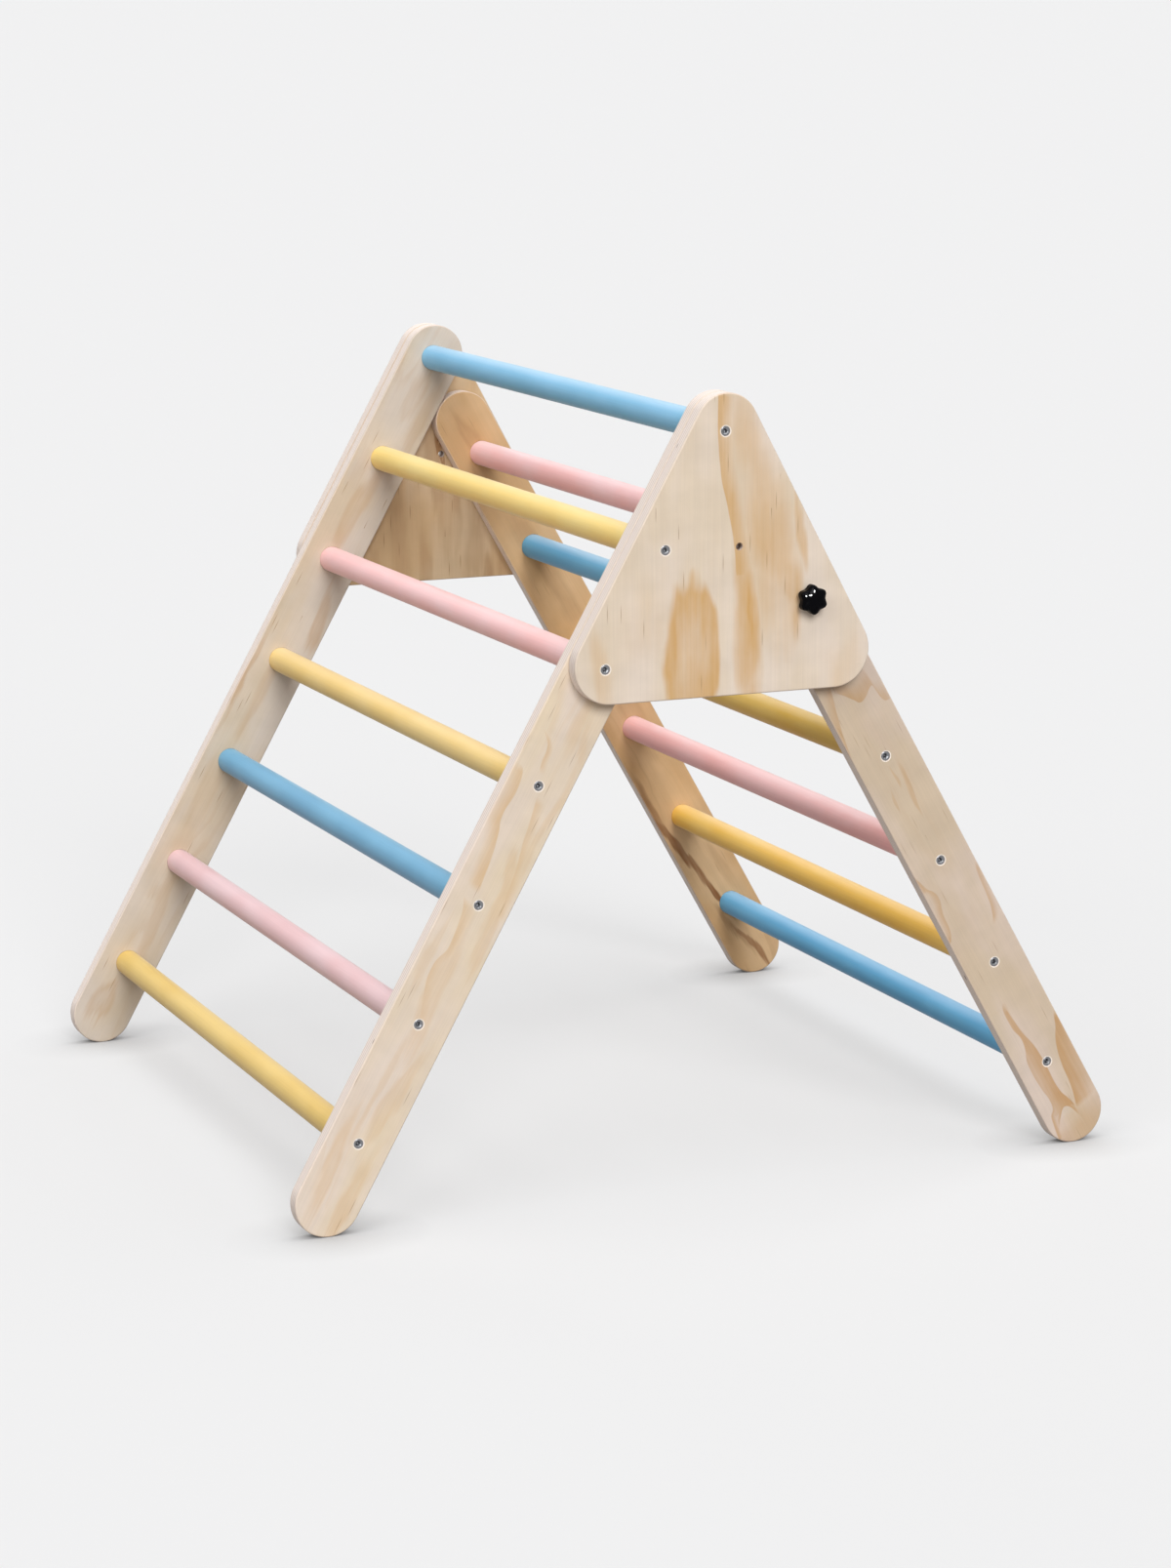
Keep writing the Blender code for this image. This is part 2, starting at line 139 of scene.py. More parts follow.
# %% Add one node
def add(tree, kind, inputs=None, **settings):
    """Add a node; an input takes a value, a socket, or a node, which gives its first live output."""
    made = tree.nodes.new("ShaderNode" + kind)
    for name, value in settings.items():
        setattr(made, name, value)
    for name, value in (inputs or {}).items():
        if isinstance(value, bpy.types.Node):
            value = next(socket for socket in value.outputs if socket.enabled)
        if isinstance(value, bpy.types.NodeSocket):
            tree.links.new(value, made.inputs[name])
        else:
            made.inputs[name].default_value = value
    return made


def new_finish(name):
    """A material and its node tree, which is still empty."""
    made = bpy.data.materials.new(name)
    made.use_nodes = True
    made.node_tree.nodes.clear()
    return made, made.node_tree


def patches(tree, point, lengths, detail, shift=(0, 0, 0)):
    """Soft uneven patches, with about the given lengths along x, y and z, in the point's unit."""
    stretched = add(tree, "Mapping", {"Vector": point, "Location": shift,
                                      "Scale": [1 / length for length in lengths]})
    return add(tree, "TexNoise", {"Vector": stretched, "Scale": 1.0, "Detail": detail})


def shaded(tree, colour, pattern, darkest, brightest):
    """A colour made darker and brighter by a pattern."""
    shade = add(tree, "MapRange", {"Value": pattern, "From Min": 0.3, "From Max": 0.7,
                                   "To Min": darkest, "To Max": brightest})
    return add(tree, "VectorMath", {0: colour, "Scale": shade}, operation="SCALE")


# %% [markdown]
# The light is a plain, soft studio light: wide lamps overhead and in front, a stronger one at the
# right, weaker ones behind and low at the left, and a faint dome that fills the shade. Together they
# light a face that looks at the camera so that its colour comes out as written. What the camera,
# gloss and glass see of the dome is a pale backdrop, which adds nothing to the spread light.

# %% Lamps and sky
BACKDROP = linear("#F0F0F0")
FILL = 0.18


def lamp(name, towards, strength, angle):
    """A distant lamp that shines from the given direction, with an apparent size in degrees."""
    made = bpy.data.objects.new(name, bpy.data.lights.new(name, "SUN"))
    bpy.context.scene.collection.objects.link(made)
    made.rotation_euler = Vector(towards).to_track_quat("Z", "Y").to_euler()
    made.data.energy = strength
    made.data.angle = radians(angle)
    return made


def seen_directly(tree):
    """1 where a ray comes from the camera, from gloss or through glass, and 0 for spread light."""
    rays = add(tree, "LightPath")
    seen = add(tree, "Math", {0: rays.outputs["Is Camera Ray"], 1: rays.outputs["Is Glossy Ray"]},
               operation="MAXIMUM")
    return add(tree, "Math", {0: seen, 1: rays.outputs["Is Transmission Ray"]}, operation="MAXIMUM")


lamp("soft_overhead", (0.10, 0.0, 1.0), 1.05, 42)
lamp("soft_right", (0.85, -0.10, 0.50), 2.08, 30)
lamp("soft_front", (0.40, -0.75, 0.55), 1.10, 42)
lamp("soft_back", (-0.10, 0.60, 0.77), 0.55, 42)
lamp("low_left", (-0.97, 0.06, 0.23), 0.60, 42)

world = bpy.data.worlds.new("studio")
bpy.context.scene.world = world
world.use_nodes = True
sky = world.node_tree
sky.nodes.clear()
fill = add(sky, "Background", {"Color": linear("#FFFFFF"), "Strength": FILL})
pale = add(sky, "Background", {"Color": BACKDROP, "Strength": 1.0})
both = add(sky, "MixShader", {0: seen_directly(sky), 1: fill, 2: pale})
add(sky, "OutputWorld", {"Surface": both})
bpy.context.scene.view_settings.view_transform = "Standard"
print("lamps:", len(bpy.data.lights))

# %% [markdown]
# The floor is a pale sheet, so wide that its far edge lies above the picture. It is set off to one
# side, so that the seam between its two triangles is out of the picture too. It keeps the object's
# shadow, and a little light of its own, seen by the camera and in gloss only, keeps that shadow
# faint except close round the feet. The light that it throws back up is that of a greyer floor, so
# that the undersides of the rungs stay in shade.

# %% Floor
FLOOR_REACH = 600.0
FLOOR_SHIFT = 5 / 6 * FLOOR_REACH
GLOW_SHARE, CONTACT_REACH = 0.56, 0.08

shape = bmesh.new()
bmesh.ops.create_grid(shape, x_segments=1, y_segments=1, size=FLOOR_REACH)
bmesh.ops.translate(shape, verts=shape.verts, vec=(0, FLOOR_SHIFT, 0))
floor_mesh = bpy.data.meshes.new("floor")
shape.to_mesh(floor_mesh)
shape.free()
floor = bpy.data.objects.new("floor", floor_mesh)
bpy.context.scene.collection.objects.link(floor)

paper, tree = new_finish("matte_studio_paper")
seen = seen_directly(tree)
tone = add(tree, "Mix", {"Factor": seen, "A": linear("#88827C"), "B": linear("#DEDEDF")}, data_type="RGBA")
sheet = add(tree, "BsdfPrincipled", {"Base Color": tone, "Roughness": 1.0,
                                     "Specular IOR Level": 0.0})
near = add(tree, "AmbientOcclusion", {"Distance": CONTACT_REACH}, samples=12)
open_sky = add(tree, "Math", {0: near.outputs["AO"], 1: 1.3}, operation="POWER")
glow = add(tree, "Emission", {"Color": BACKDROP, "Strength": open_sky})
share = add(tree, "Math", {0: seen, 1: GLOW_SHARE}, operation="MULTIPLY")
lit = add(tree, "MixShader", {0: share, 1: sheet, 2: glow})
add(tree, "OutputMaterial", {"Surface": lit})
floor_mesh.materials.append(paper)
print("floor:", 2 * FLOOR_REACH, "m wide")

# %% [markdown]
# The boards are pine-faced plywood with a clear matte lacquer. A thin outer veneer shows pale sapwood,
# slow cream clouds, amber late wood and short resin dashes, all stretched along the grain. Under it
# lie plies with the grain running one way and the other in turn. The pattern is solid, not painted
# on: it is worked out for each point of the board, in millimetres from its middle, with Y across
# and Z along the grain. So faces, rounded edges and drilled holes agree by themselves.
#
# The softer amber figures are ellipses in the plane of the board. Each is given as across, along,
# half width, half length, turn in degrees, strength, how pale its middle is, and how soft its
# outline is.

# %% Soft figures of late wood
def ellipse(tree, grain, centre, half_sizes, turn):
    """Distance from an ellipsoid's centre, where 1 is its surface."""
    local = add(tree, "Mapping", {"Vector": grain, "Location": centre, "Rotation": (radians(turn), 0, 0),
                                  "Scale": half_sizes}, vector_type="TEXTURE")
    return add(tree, "VectorMath", {0: local}, operation="LENGTH")


def amber_figure(tree, grain, figure):
    """The share of late wood in one figure on the board's face at +x."""
    across, along, half_width, half_length, turn, strength, pale, soft = figure
    reach = ellipse(tree, grain, (HALF, across, along), (HALF, half_width, half_length), turn)
    inside = add(tree, "MapRange", {"Value": reach, "From Min": 1 + soft, "From Max": 1 - soft},
                 interpolation_type="SMOOTHSTEP")
    rim = add(tree, "MapRange", {"Value": reach, "From Min": 0.25, "From Max": 0.9,
                                 "To Min": strength * (1 - pale), "To Max": strength},
              interpolation_type="SMOOTHSTEP")
    return add(tree, "Math", {0: inside, 1: rim}, operation="MULTIPLY")


# %% [markdown]
# Where the veneer grazed the top of a growth ring, the late wood stops at a sharp outline. A short
# pale tongue is a parabola, given as across, height of its tip, half width at the given length above
# the tip, turn, strength of the late wood along it, and the share of the length over which that
# fades. Longer outlines are smooth curves through a few points, with late wood on one side: dark and
# sharp at the curve, and fading away from it. They are given as the axis along which they run, their
# (run, place) points, the side, the strength, the width over which it fades, and whether the wood
# past the curve is wiped pale.

# %% Sharp outlines of late wood
OUTLINE_ENDS = 9


def pale_tongue(tree, grain, total, tongue):
    """Cut a pale tongue out of the late wood, which is darkest along the tongue's sharp outline."""
    across, tip, half_width, length, turn, strength, fade = tongue
    local = add(tree, "Mapping", {"Vector": grain, "Location": (0, across, tip),
                                  "Rotation": (radians(turn), 0, 0), "Scale": (1, half_width, length)},
                vector_type="TEXTURE")
    part = add(tree, "SeparateXYZ", {0: local})
    bulge = add(tree, "Math", {0: part.outputs["Y"], 1: part.outputs["Y"]}, operation="MULTIPLY")
    reach = add(tree, "Math", {0: bulge, 1: part.outputs["Z"]}, operation="SUBTRACT")
    outside = add(tree, "MapRange", {"Value": reach, "From Min": -0.04, "From Max": 0.02})
    rim = add(tree, "MapRange", {"Value": reach, "From Max": fade, "To Min": strength, "To Max": 0.0},
              interpolation_type="SMOOTHSTEP")
    lower = add(tree, "MapRange", {"Value": part.outputs["Z"], "From Min": 0.6, "From Max": 2.2,
                                   "To Min": 1.0, "To Max": 0.0})
    near_tip = add(tree, "Math", {0: rim, 1: lower}, operation="MULTIPLY")
    both = add(tree, "Math", {0: total, 1: near_tip}, operation="MAXIMUM")
    upper = add(tree, "Math", {0: 1.0, 1: lower}, operation="SUBTRACT")
    kept = add(tree, "Math", {0: outside, 1: upper}, operation="MAXIMUM")
    return add(tree, "Math", {0: both, 1: kept}, operation="MULTIPLY")


def curve_through(tree, run, points):
    """The height of a smooth curve through (run, place) points, for each place along its run."""
    first, last = points[0][0], points[-1][0]
    low = min(place for _, place in points)
    high = max(place for _, place in points)
    share = add(tree, "MapRange", {"Value": run, "From Min": first, "From Max": last})
    bend = add(tree, "FloatCurve", {"Value": share})
    curve = bend.mapping.curves[0]
    for _ in points[2:]:
        curve.points.new(0.5, 0.5)
    for knot, (along, place) in zip(curve.points, points):
        knot.location = ((along - first) / (last - first), (place - low) / (high - low))
    bend.mapping.update()
    return add(tree, "MapRange", {"Value": bend, "To Min": low, "To Max": high})


def ring_edge(tree, grain, total, edge):
    """Late wood along one side of a smooth outline, which fades in and out at its ends."""
    axis, points, side, strength, fade, wiped = edge
    first, last = points[0][0], points[-1][0]
    part = add(tree, "SeparateXYZ", {0: grain})
    run, cross = (part.outputs[a] for a in (axis, "Z" if axis == "Y" else "Y"))
    reach = add(tree, "Math", {0: cross, 1: curve_through(tree, run, points)}, operation="SUBTRACT")
    away = add(tree, "Math", {0: reach, 1: side}, operation="MULTIPLY")
    rim = add(tree, "MapRange", {"Value": away, "From Max": fade, "To Min": strength, "To Max": 0.0},
              interpolation_type="SMOOTHSTEP")
    past = add(tree, "MapRange", {"Value": away, "From Min": 0.4, "From Max": -0.8})
    begins = add(tree, "MapRange", {"Value": run, "From Min": first, "From Max": first + OUTLINE_ENDS})
    stops = add(tree, "MapRange", {"Value": run, "From Min": last, "From Max": last - OUTLINE_ENDS})
    ends = add(tree, "Math", {0: begins, 1: stops}, operation="MULTIPLY")
    if wiped:
        gone = add(tree, "Math", {0: past, 1: ends}, operation="MULTIPLY")
        kept = add(tree, "Math", {0: 1.0, 1: gone}, operation="SUBTRACT")
        total = add(tree, "Math", {0: total, 1: kept}, operation="MULTIPLY")
    near_side = add(tree, "Math", {0: 1.0, 1: past}, operation="SUBTRACT")
    ended = add(tree, "Math", {0: rim, 1: ends}, operation="MULTIPLY")
    late = add(tree, "Math", {0: ended, 1: near_side}, operation="MULTIPLY")
    return add(tree, "Math", {0: total, 1: late}, operation="MAXIMUM")


# %% [markdown]
# Between the placed figures the veneer has faint growth rings, cut at a low angle: bands that darken
# slowly and end sooner. Rings and soft figures are pushed about by noise so that no outline looks
# drawn, and their ends fray along the fibres. The sharp outlines are pushed much less, because they
# have to stay where they were placed.

# %% Late wood all over a board
def growth_rings(tree, grain, seed, strength):
    """Bands of late wood, in patches about 45 mm across the grain and 240 mm along it."""
    slope = patches(tree, grain, (40, 62, 420), 1.0, (0, 5 * seed, 2 * seed))
    count = add(tree, "Math", {0: slope, 1: 9.0}, operation="MULTIPLY")
    ring = add(tree, "Math", {0: count}, operation="FRACT")
    dark = add(tree, "MapRange", {"Value": ring, "From Min": 0.3, "From Max": 0.85},
               interpolation_type="SMOOTHSTEP")
    end = add(tree, "MapRange", {"Value": ring, "From Min": 1.0, "From Max": 0.86},
              interpolation_type="SMOOTHSTEP")
    banded = add(tree, "Math", {0: dark, 1: end}, operation="MULTIPLY")
    where = patches(tree, grain, (30, 45, 240), 1.0, (2 * seed, seed, 0))
    patch = add(tree, "MapRange", {"Value": where, "From Min": 0.42, "From Max": 0.68,
                                   "To Max": strength}, interpolation_type="SMOOTHSTEP")
    return add(tree, "Math", {0: banded, 1: patch}, operation="MULTIPLY")


def late_wood(tree, board, seed, figures, tongues, edges, rings, fray):
    """The share of late wood at each point of the veneer."""
    push = patches(tree, board, (12, 30, 80), 2.0, (seed, 0, 0))
    centred = add(tree, "VectorMath", {0: push.outputs["Color"], 1: (0.5, 0.5, 0.5)}, operation="SUBTRACT")
    swing = add(tree, "VectorMath", {0: centred, 1: (0, 24, 70)}, operation="MULTIPLY")
    moved = add(tree, "VectorMath", {0: board, 1: swing}, operation="ADD")
    fringe = patches(tree, board, (9, 4, 150), 2.0)
    fringe_push = add(tree, "MapRange", {"Value": fringe, "From Min": 0.25, "From Max": 0.75,
                                         "To Min": -fray, "To Max": fray})
    fringe_step = add(tree, "CombineXYZ", {"Z": fringe_push})
    frayed = add(tree, "VectorMath", {0: moved, 1: fringe_step}, operation="ADD")
    total = growth_rings(tree, frayed, seed, rings)
    for figure in figures:
        share = amber_figure(tree, frayed, figure)
        total = add(tree, "Math", {0: total, 1: share, 2: 0.12}, operation="SMOOTH_MAX")

    sway = add(tree, "VectorMath", {0: centred, 1: (0, 7, 12)}, operation="MULTIPLY")
    steady = add(tree, "VectorMath", {0: board, 1: sway}, operation="ADD")
    for edge in edges:
        total = ring_edge(tree, steady, total, edge)
    for tongue in tongues:
        total = pale_tongue(tree, steady, total, tongue)

    # Late wood is stronger and weaker every few centimetres, and fibrous all over
    patchy = patches(tree, board, (20, 22, 60), 3.0, (0, seed, 0))
    fibrous = add(tree, "Math", {0: fringe, 1: 0.4, 2: patchy}, operation="MULTIPLY_ADD")
    uneven = add(tree, "MapRange", {"Value": fibrous, "From Min": 0.5, "From Max": 0.9,
                                    "To Min": 0.7, "To Max": 1.1})
    return add(tree, "Math", {0: total, 1: uneven}, operation="MULTIPLY", use_clamp=True)


# %% [markdown]
# The pale wood between the figures isn't even either. Slow clouds lead from sapwood to cream, faint
# ripples cross the grain where it dips, and thin resin dashes stand in few of many long cells, more
# of them where the clouds are cream.

# %% Pale wood and resin dashes
def pale_wood(tree, board, seed, sapwood, cream):
    """The tone of the pale wood, and the noise of its clouds, 70 mm across and 190 mm along."""
    clouds = patches(tree, board, (14, 70, 190), 3.0, (seed, 3 * seed, 7 * seed))
    cloudy = add(tree, "MapRange", {"Value": clouds, "From Min": 0.36, "From Max": 0.62},
                 interpolation_type="SMOOTHSTEP")
    tone = add(tree, "Mix", {"Factor": cloudy, "A": sapwood, "B": cream}, data_type="RGBA")
    ripple = patches(tree, board, (14, 55, 30), 3.0, (seed, seed, 0))
    return shaded(tree, tone, ripple, 0.95, 1.04), clouds


def resin_dashes(tree, board, seed, clouds, strength):
    """The share of resin; a dash is about a millimetre wide and 20 mm long."""
    part = add(tree, "SeparateXYZ", {0: board})
    flat = add(tree, "CombineXYZ", {"X": part.outputs["Y"], "Y": part.outputs["Z"]})
    cells = add(tree, "Mapping", {"Vector": flat, "Location": (seed, seed, 0),
                                  "Scale": (1 / 5, 1 / 110, 1)})
    cell = add(tree, "TexVoronoi", {"Vector": cells, "Scale": 1.0}, voronoi_dimensions="2D")
    dash = add(tree, "MapRange", {"Value": cell.outputs["Distance"], "From Min": 0.11,
                                  "From Max": 0.03, "To Max": strength})
    chosen = add(tree, "SeparateColor", {0: cell.outputs["Color"]})
    likely = add(tree, "Math", {0: chosen.outputs["Red"], 1: clouds}, operation="ADD")
    rare = add(tree, "Math", {0: likely, 1: 1.36}, operation="GREATER_THAN")
    return add(tree, "Math", {0: dash, 1: rare}, operation="MULTIPLY")


# %% [markdown]
# How deep a point lies under the nearer face says which ply it is in, so the sanded edges show the
# plies as fine stripes, the cross plies with darker end grain. A void is a small gap between the
# plies, which shows as a dark dash in an edge. The same dark brown paints shade on the walls of the
# storage holes. Last, all of it is put together under the lacquer.

# %% Plywood finish
PLY = BOARD_THICKNESS / 9


def inner_plies(tree, board, depth, voids_and_hole_shade):
    """The tone of the plies under the veneer, with voids and the painted shade in holes given as place and
    half sizes.
    """
    plies = add(tree, "Math", {0: depth, 1: PLY}, operation="DIVIDE")
    wave = add(tree, "Math", {0: plies, 1: pi}, operation="MULTIPLY")
    swell = add(tree, "Math", {0: wave}, operation="SINE")
    crossed = add(tree, "MapRange", {"Value": swell, "From Min": -0.15, "From Max": -0.6})
    layers = add(tree, "Mix", {"Factor": crossed, "A": linear("#F0E3DA"), "B": linear("#D8C8BE")},
                 data_type="RGBA")
    for place, half_sizes in voids_and_hole_shade:
        reach = ellipse(tree, board, place, half_sizes, 0)
        void_and_hole_shade_share = add(tree, "MapRange", {"Value": reach, "From Min": 1.0, "From Max": 0.6, "To Max": 0.9})
        layers = add(tree, "Mix", {"Factor": void_and_hole_shade_share, "A": layers,
                                   "B": linear("#7A5844")}, data_type="RGBA")
    return layers


def plywood(name, middle, tilt, tones, seed, figures, rings, fray, dashes, voids_and_hole_shade=(), tongues=(), edges=()):
    """Lacquered plywood with the grain up the board; the middle and the tilt place its pattern."""
    sapwood, cream, amber = (linear(tone) for tone in tones)
    finish, tree = new_finish(name)
    point = add(tree, "TexCoord").outputs["Object"]
    board = add(tree, "Mapping", {"Vector": point, "Location": [v * MM for v in middle],
                                  "Rotation": (tilt, 0, 0), "Scale": (MM, MM, MM)}, vector_type="TEXTURE")
    ground, clouds = pale_wood(tree, board, seed, sapwood, cream)
    late = late_wood(tree, board, seed, figures, tongues, edges, rings, fray)
    veneer = add(tree, "Mix", {"Factor": late, "A": ground, "B": amber}, data_type="RGBA")
    dashed = resin_dashes(tree, board, seed, clouds, dashes)
    face = add(tree, "Mix", {"Factor": dashed, "A": veneer, "B": linear("#9A7550")},
               data_type="RGBA")

    # The rounded edges are sanded through the lacquer to bare pale wood
    part = add(tree, "SeparateXYZ", {0: board})
    offset = add(tree, "Math", {0: part.outputs["X"]}, operation="ABSOLUTE")
    depth = add(tree, "Math", {0: HALF, 1: offset}, operation="SUBTRACT")
    bare_from = add(tree, "MapRange", {"Value": depth, "From Min": 0.05, "From Max": 0.3})
    bare_to = add(tree, "MapRange", {"Value": depth, "From Min": 1.5, "From Max": 0.9, "To Max": 0.6})
    bare = add(tree, "Math", {0: bare_from, 1: bare_to}, operation="MULTIPLY")
    worn = add(tree, "Mix", {"Factor": bare, "A": face, "B": linear("#D9C7BC")},
               data_type="RGBA")
    deep = add(tree, "MapRange", {"Value": depth, "From Min": 0.6 * PLY, "From Max": 0.95 * PLY})
    wood = add(tree, "Mix", {"Factor": deep, "A": worn,
                             "B": inner_plies(tree, board, depth, voids_and_hole_shade)}, data_type="RGBA")

    # Fine grain, a line every 1.5 mm, shades the wood and shows through the lacquer as faint relief
    grain = patches(tree, board, (1.5, 1.5, 110), 3.0, (seed, seed, seed))
    grain.inputs["Roughness"].default_value = 0.6
    toned = shaded(tree, wood, grain, 0.97, 1.03)
    dullness = add(tree, "MapRange", {"Value": grain, "To Min": 0.50, "To Max": 0.66})
    pores = add(tree, "Math", {0: grain, 1: dashed}, operation="SUBTRACT")
    relief = add(tree, "Bump", {"Height": pores, "Strength": 0.35, "Distance": 0.06 * MM})
    lacquer = add(tree, "BsdfPrincipled", {"Base Color": toned, "Roughness": dullness,
                                           "Specular IOR Level": 0.35, "Normal": relief})
    add(tree, "OutputMaterial", {"Surface": lacquer})
    return finish


print("plies in a board:", round(BOARD_THICKNESS / PLY))

# %% [markdown]
# The rungs are turned beech dowels under a matte, chalk-like water-based paint. The eye sees an even
# pastel that is a little patchy along the rung and shows a hint of the wood's grain. The upper side
# of some rungs is painted whitish, a painted highlight where the light falls from above, and the
# underside is painted in a deeper, darker tone, as painted shade. A little sheen softens the outline,
# while the gloss is weak.

# %% Matte paint on the rungs
def rung_paint(name, colour, patch_colour, painted_top_highlight, seed):
    """Pastel paint, brushed along the rung; patches 150 mm long are a little paler."""
    finish, tree = new_finish(name)
    coordinates = add(tree, "TexCoord")
    point = coordinates.outputs["Object"]
    brushed = patches(tree, point, (0.150, 0.060, 0.060), 3.0, (seed, seed, seed))
    share = add(tree, "MapRange", {"Value": brushed, "From Min": 0.35, "From Max": 0.68},
                interpolation_type="SMOOTHSTEP")
    tone = add(tree, "Mix", {"Factor": share, "A": linear(colour), "B": linear(patch_colour)},
               data_type="RGBA")

    # The upper side gets a painted whitish highlight, and the lower side a deeper tone as painted shade
    height = add(tree, "SeparateXYZ", {0: coordinates.outputs["Normal"]}).outputs["Z"]
    painted_top_highlight_mask = add(tree, "MapRange", {"Value": height, "From Min": 0.6, "To Max": painted_top_highlight})
    with_top_highlight = add(tree, "Mix", {"Factor": painted_top_highlight_mask, "A": tone, "B": linear("#F1EEEC")},
                 data_type="RGBA")
    painted_under_shade_mask = add(tree, "MapRange", {"Value": height, "From Min": 0.1, "From Max": -0.6})
    shade_deepened = add(tree, "Gamma", {"Color": tone, "Gamma": 1.17})
    painted_under_shade = add(tree, "VectorMath", {0: shade_deepened, "Scale": 1.06}, operation="SCALE")
    with_painted_light = add(tree, "Mix", {"Factor": painted_under_shade_mask, "A": with_top_highlight, "B": painted_under_shade},
                 data_type="RGBA")

    # Brush marks and grain, 1.4 mm apart, which is coarser than the real ones so that they show
    grain = patches(tree, point, (0.090, 0.0014, 0.0014), 3.0)
    toned = shaded(tree, with_painted_light, grain, 0.965, 1.02)
    dullness = add(tree, "MapRange", {"Value": brushed, "To Min": 0.42, "To Max": 0.58})
    relief = add(tree, "Bump", {"Height": grain, "Strength": 0.3, "Distance": 0.05 * MM})
    paint = add(tree, "BsdfPrincipled", {"Base Color": toned, "Roughness": dullness,
                                         "Specular IOR Level": 0.12, "Sheen Weight": 0.3,
                                         "Sheen Roughness": 0.3, "Normal": relief})
    add(tree, "OutputMaterial", {"Surface": paint})
    return finish


# %% [markdown]
# The screws are cold-formed steel with bright zinc plating, and the inserts are turned brass. Metal
# is grey or golden by what it mirrors, so its own colour is plain and its roughness carries the look.
# The forming dies and the lathe leave fine marks, which make the roughness a little uneven.

# %% Metals
def metal(name, colour, roughness, spread, marks):
    """Plated or turned metal with fine tool marks, which lie the given length apart."""
    finish, tree = new_finish(name)
    point = add(tree, "TexCoord").outputs["Object"]
    fine = add(tree, "TexNoise", {"Vector": point, "Scale": 1 / (marks * MM), "Detail": 2.0})
    rough = add(tree, "MapRange", {"Value": fine, "To Min": roughness - spread,
                                   "To Max": roughness + spread})
    relief = add(tree, "Bump", {"Height": fine, "Strength": 0.25, "Distance": 0.02 * MM})
    surface = add(tree, "BsdfPrincipled", {"Base Color": linear(colour), "Metallic": 1.0,
                                           "Roughness": rough, "Normal": relief})
    add(tree, "OutputMaterial", {"Surface": surface})
    return finish


zinc = metal("bright_zinc_plated_steel", "#86878A", 0.21, 0.07, 0.4)
brass = metal("turned_brass", "#C9A25B", 0.30, 0.08, 0.5)
print("metals:", zinc.name, brass.name)

# %% [markdown]
# Round each screw the countersink cuts through the lacquer, which leaves a ring of pale bare wood.
# The knobs are pressed from black phenolic, which comes out of its mould with a deep gloss. Its low
# index keeps the gloss black where it mirrors the pale studio, and a faint haze keeps it from
# looking like glass.

# %% Bare wood and black moulding
bare_wood, tree = new_finish("freshly_cut_bare_wood")
point = add(tree, "TexCoord").outputs["Object"]
fibres = add(tree, "TexNoise", {"Vector": point, "Scale": 1 / (0.8 * MM), "Detail": 2.0})
tone = add(tree, "Mix", {"Factor": fibres, "A": linear("#E9DCCF"), "B": linear("#FBF3EA")}, data_type="RGBA")
surface = add(tree, "BsdfPrincipled", {"Base Color": tone, "Roughness": 0.75})
add(tree, "OutputMaterial", {"Surface": surface})

phenolic, tree = new_finish("pressed_black_phenolic")
point = add(tree, "TexCoord").outputs["Object"]
haze = add(tree, "TexNoise", {"Vector": point, "Scale": 1 / (3 * MM), "Detail": 2.0})
rough = add(tree, "MapRange", {"Value": haze, "To Min": 0.04, "To Max": 0.10})
relief = add(tree, "Bump", {"Height": haze, "Strength": 0.08, "Distance": 0.04 * MM})
surface = add(tree, "BsdfPrincipled", {"Base Color": linear("#050508"), "Roughness": rough, "IOR": 1.12,
                                       "Normal": relief})
add(tree, "OutputMaterial", {"Surface": surface})
print("and:", bare_wood.name, phenolic.name)

# %% [markdown]
# Most small pieces are turned on a lathe: a line drawn from the axis out to the rim is spun once
# round the axis. Blender's spin does the same to the vertices of a wire, and merges the last step
# with the first. The axis is X, as on the rungs, the screws and the knobs.

# %% Turn a profile and place a finished mesh
SAME_SPOT = 0.0005


def spin_profile(shape, profile, steps, centre=(0, 0)):
    """Turn a line of (x, radius) points once round X through the centre; all in millimetres."""
    y, z = centre
    points = [shape.verts.new((x, y, z + radius)) for x, radius in profile]
    lines = [shape.edges.new(pair) for pair in zip(points, points[1:])]
    bmesh.ops.spin(shape, geom=points + lines, cent=(0, y, z), axis=(1, 0, 0), dvec=(0, 0, 0),
                   angle=2 * pi, steps=steps, use_merge=True, use_duplicate=False)


def at(x, y, z, turn=0.0):
    """A place in metres, given in millimetres, turned about X."""
    return Matrix.Translation((x * MM, y * MM, z * MM)) @ Matrix.Rotation(turn, 4, "X")


def outward(side, x, y, z, turn=0.0):
    """A place on one side of the object whose own X points away from the object's middle."""
    return at(side * x, y, z, turn) @ Matrix.Rotation(0 if side > 0 else pi, 4, "Z")


def finish_piece(name, shape, material, place, body, stands_for, sharp=40):
    """Close the mesh, put it in its place in metres and hang it on its body."""
    bmesh.ops.remove_doubles(shape, verts=shape.verts, dist=SAME_SPOT)
    bmesh.ops.recalc_face_normals(shape, faces=shape.faces)
    bmesh.ops.transform(shape, matrix=place @ Matrix.Scale(MM, 4), verts=shape.verts)
    open_edges = sum(1 for edge in shape.edges if not edge.is_manifold)
    if open_edges:
        print("open edges on", name, open_edges)
    mesh = bpy.data.meshes.new(name)
    shape.to_mesh(mesh)
    shape.free()
    mesh.shade_smooth()
    mesh.set_sharp_from_angle(angle=radians(sharp))
    mesh.materials.append(material)
    made = bpy.data.objects.new(name, mesh)
    bpy.context.scene.collection.objects.link(made)
    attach(made, body)
    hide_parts(stands_for)
    return made


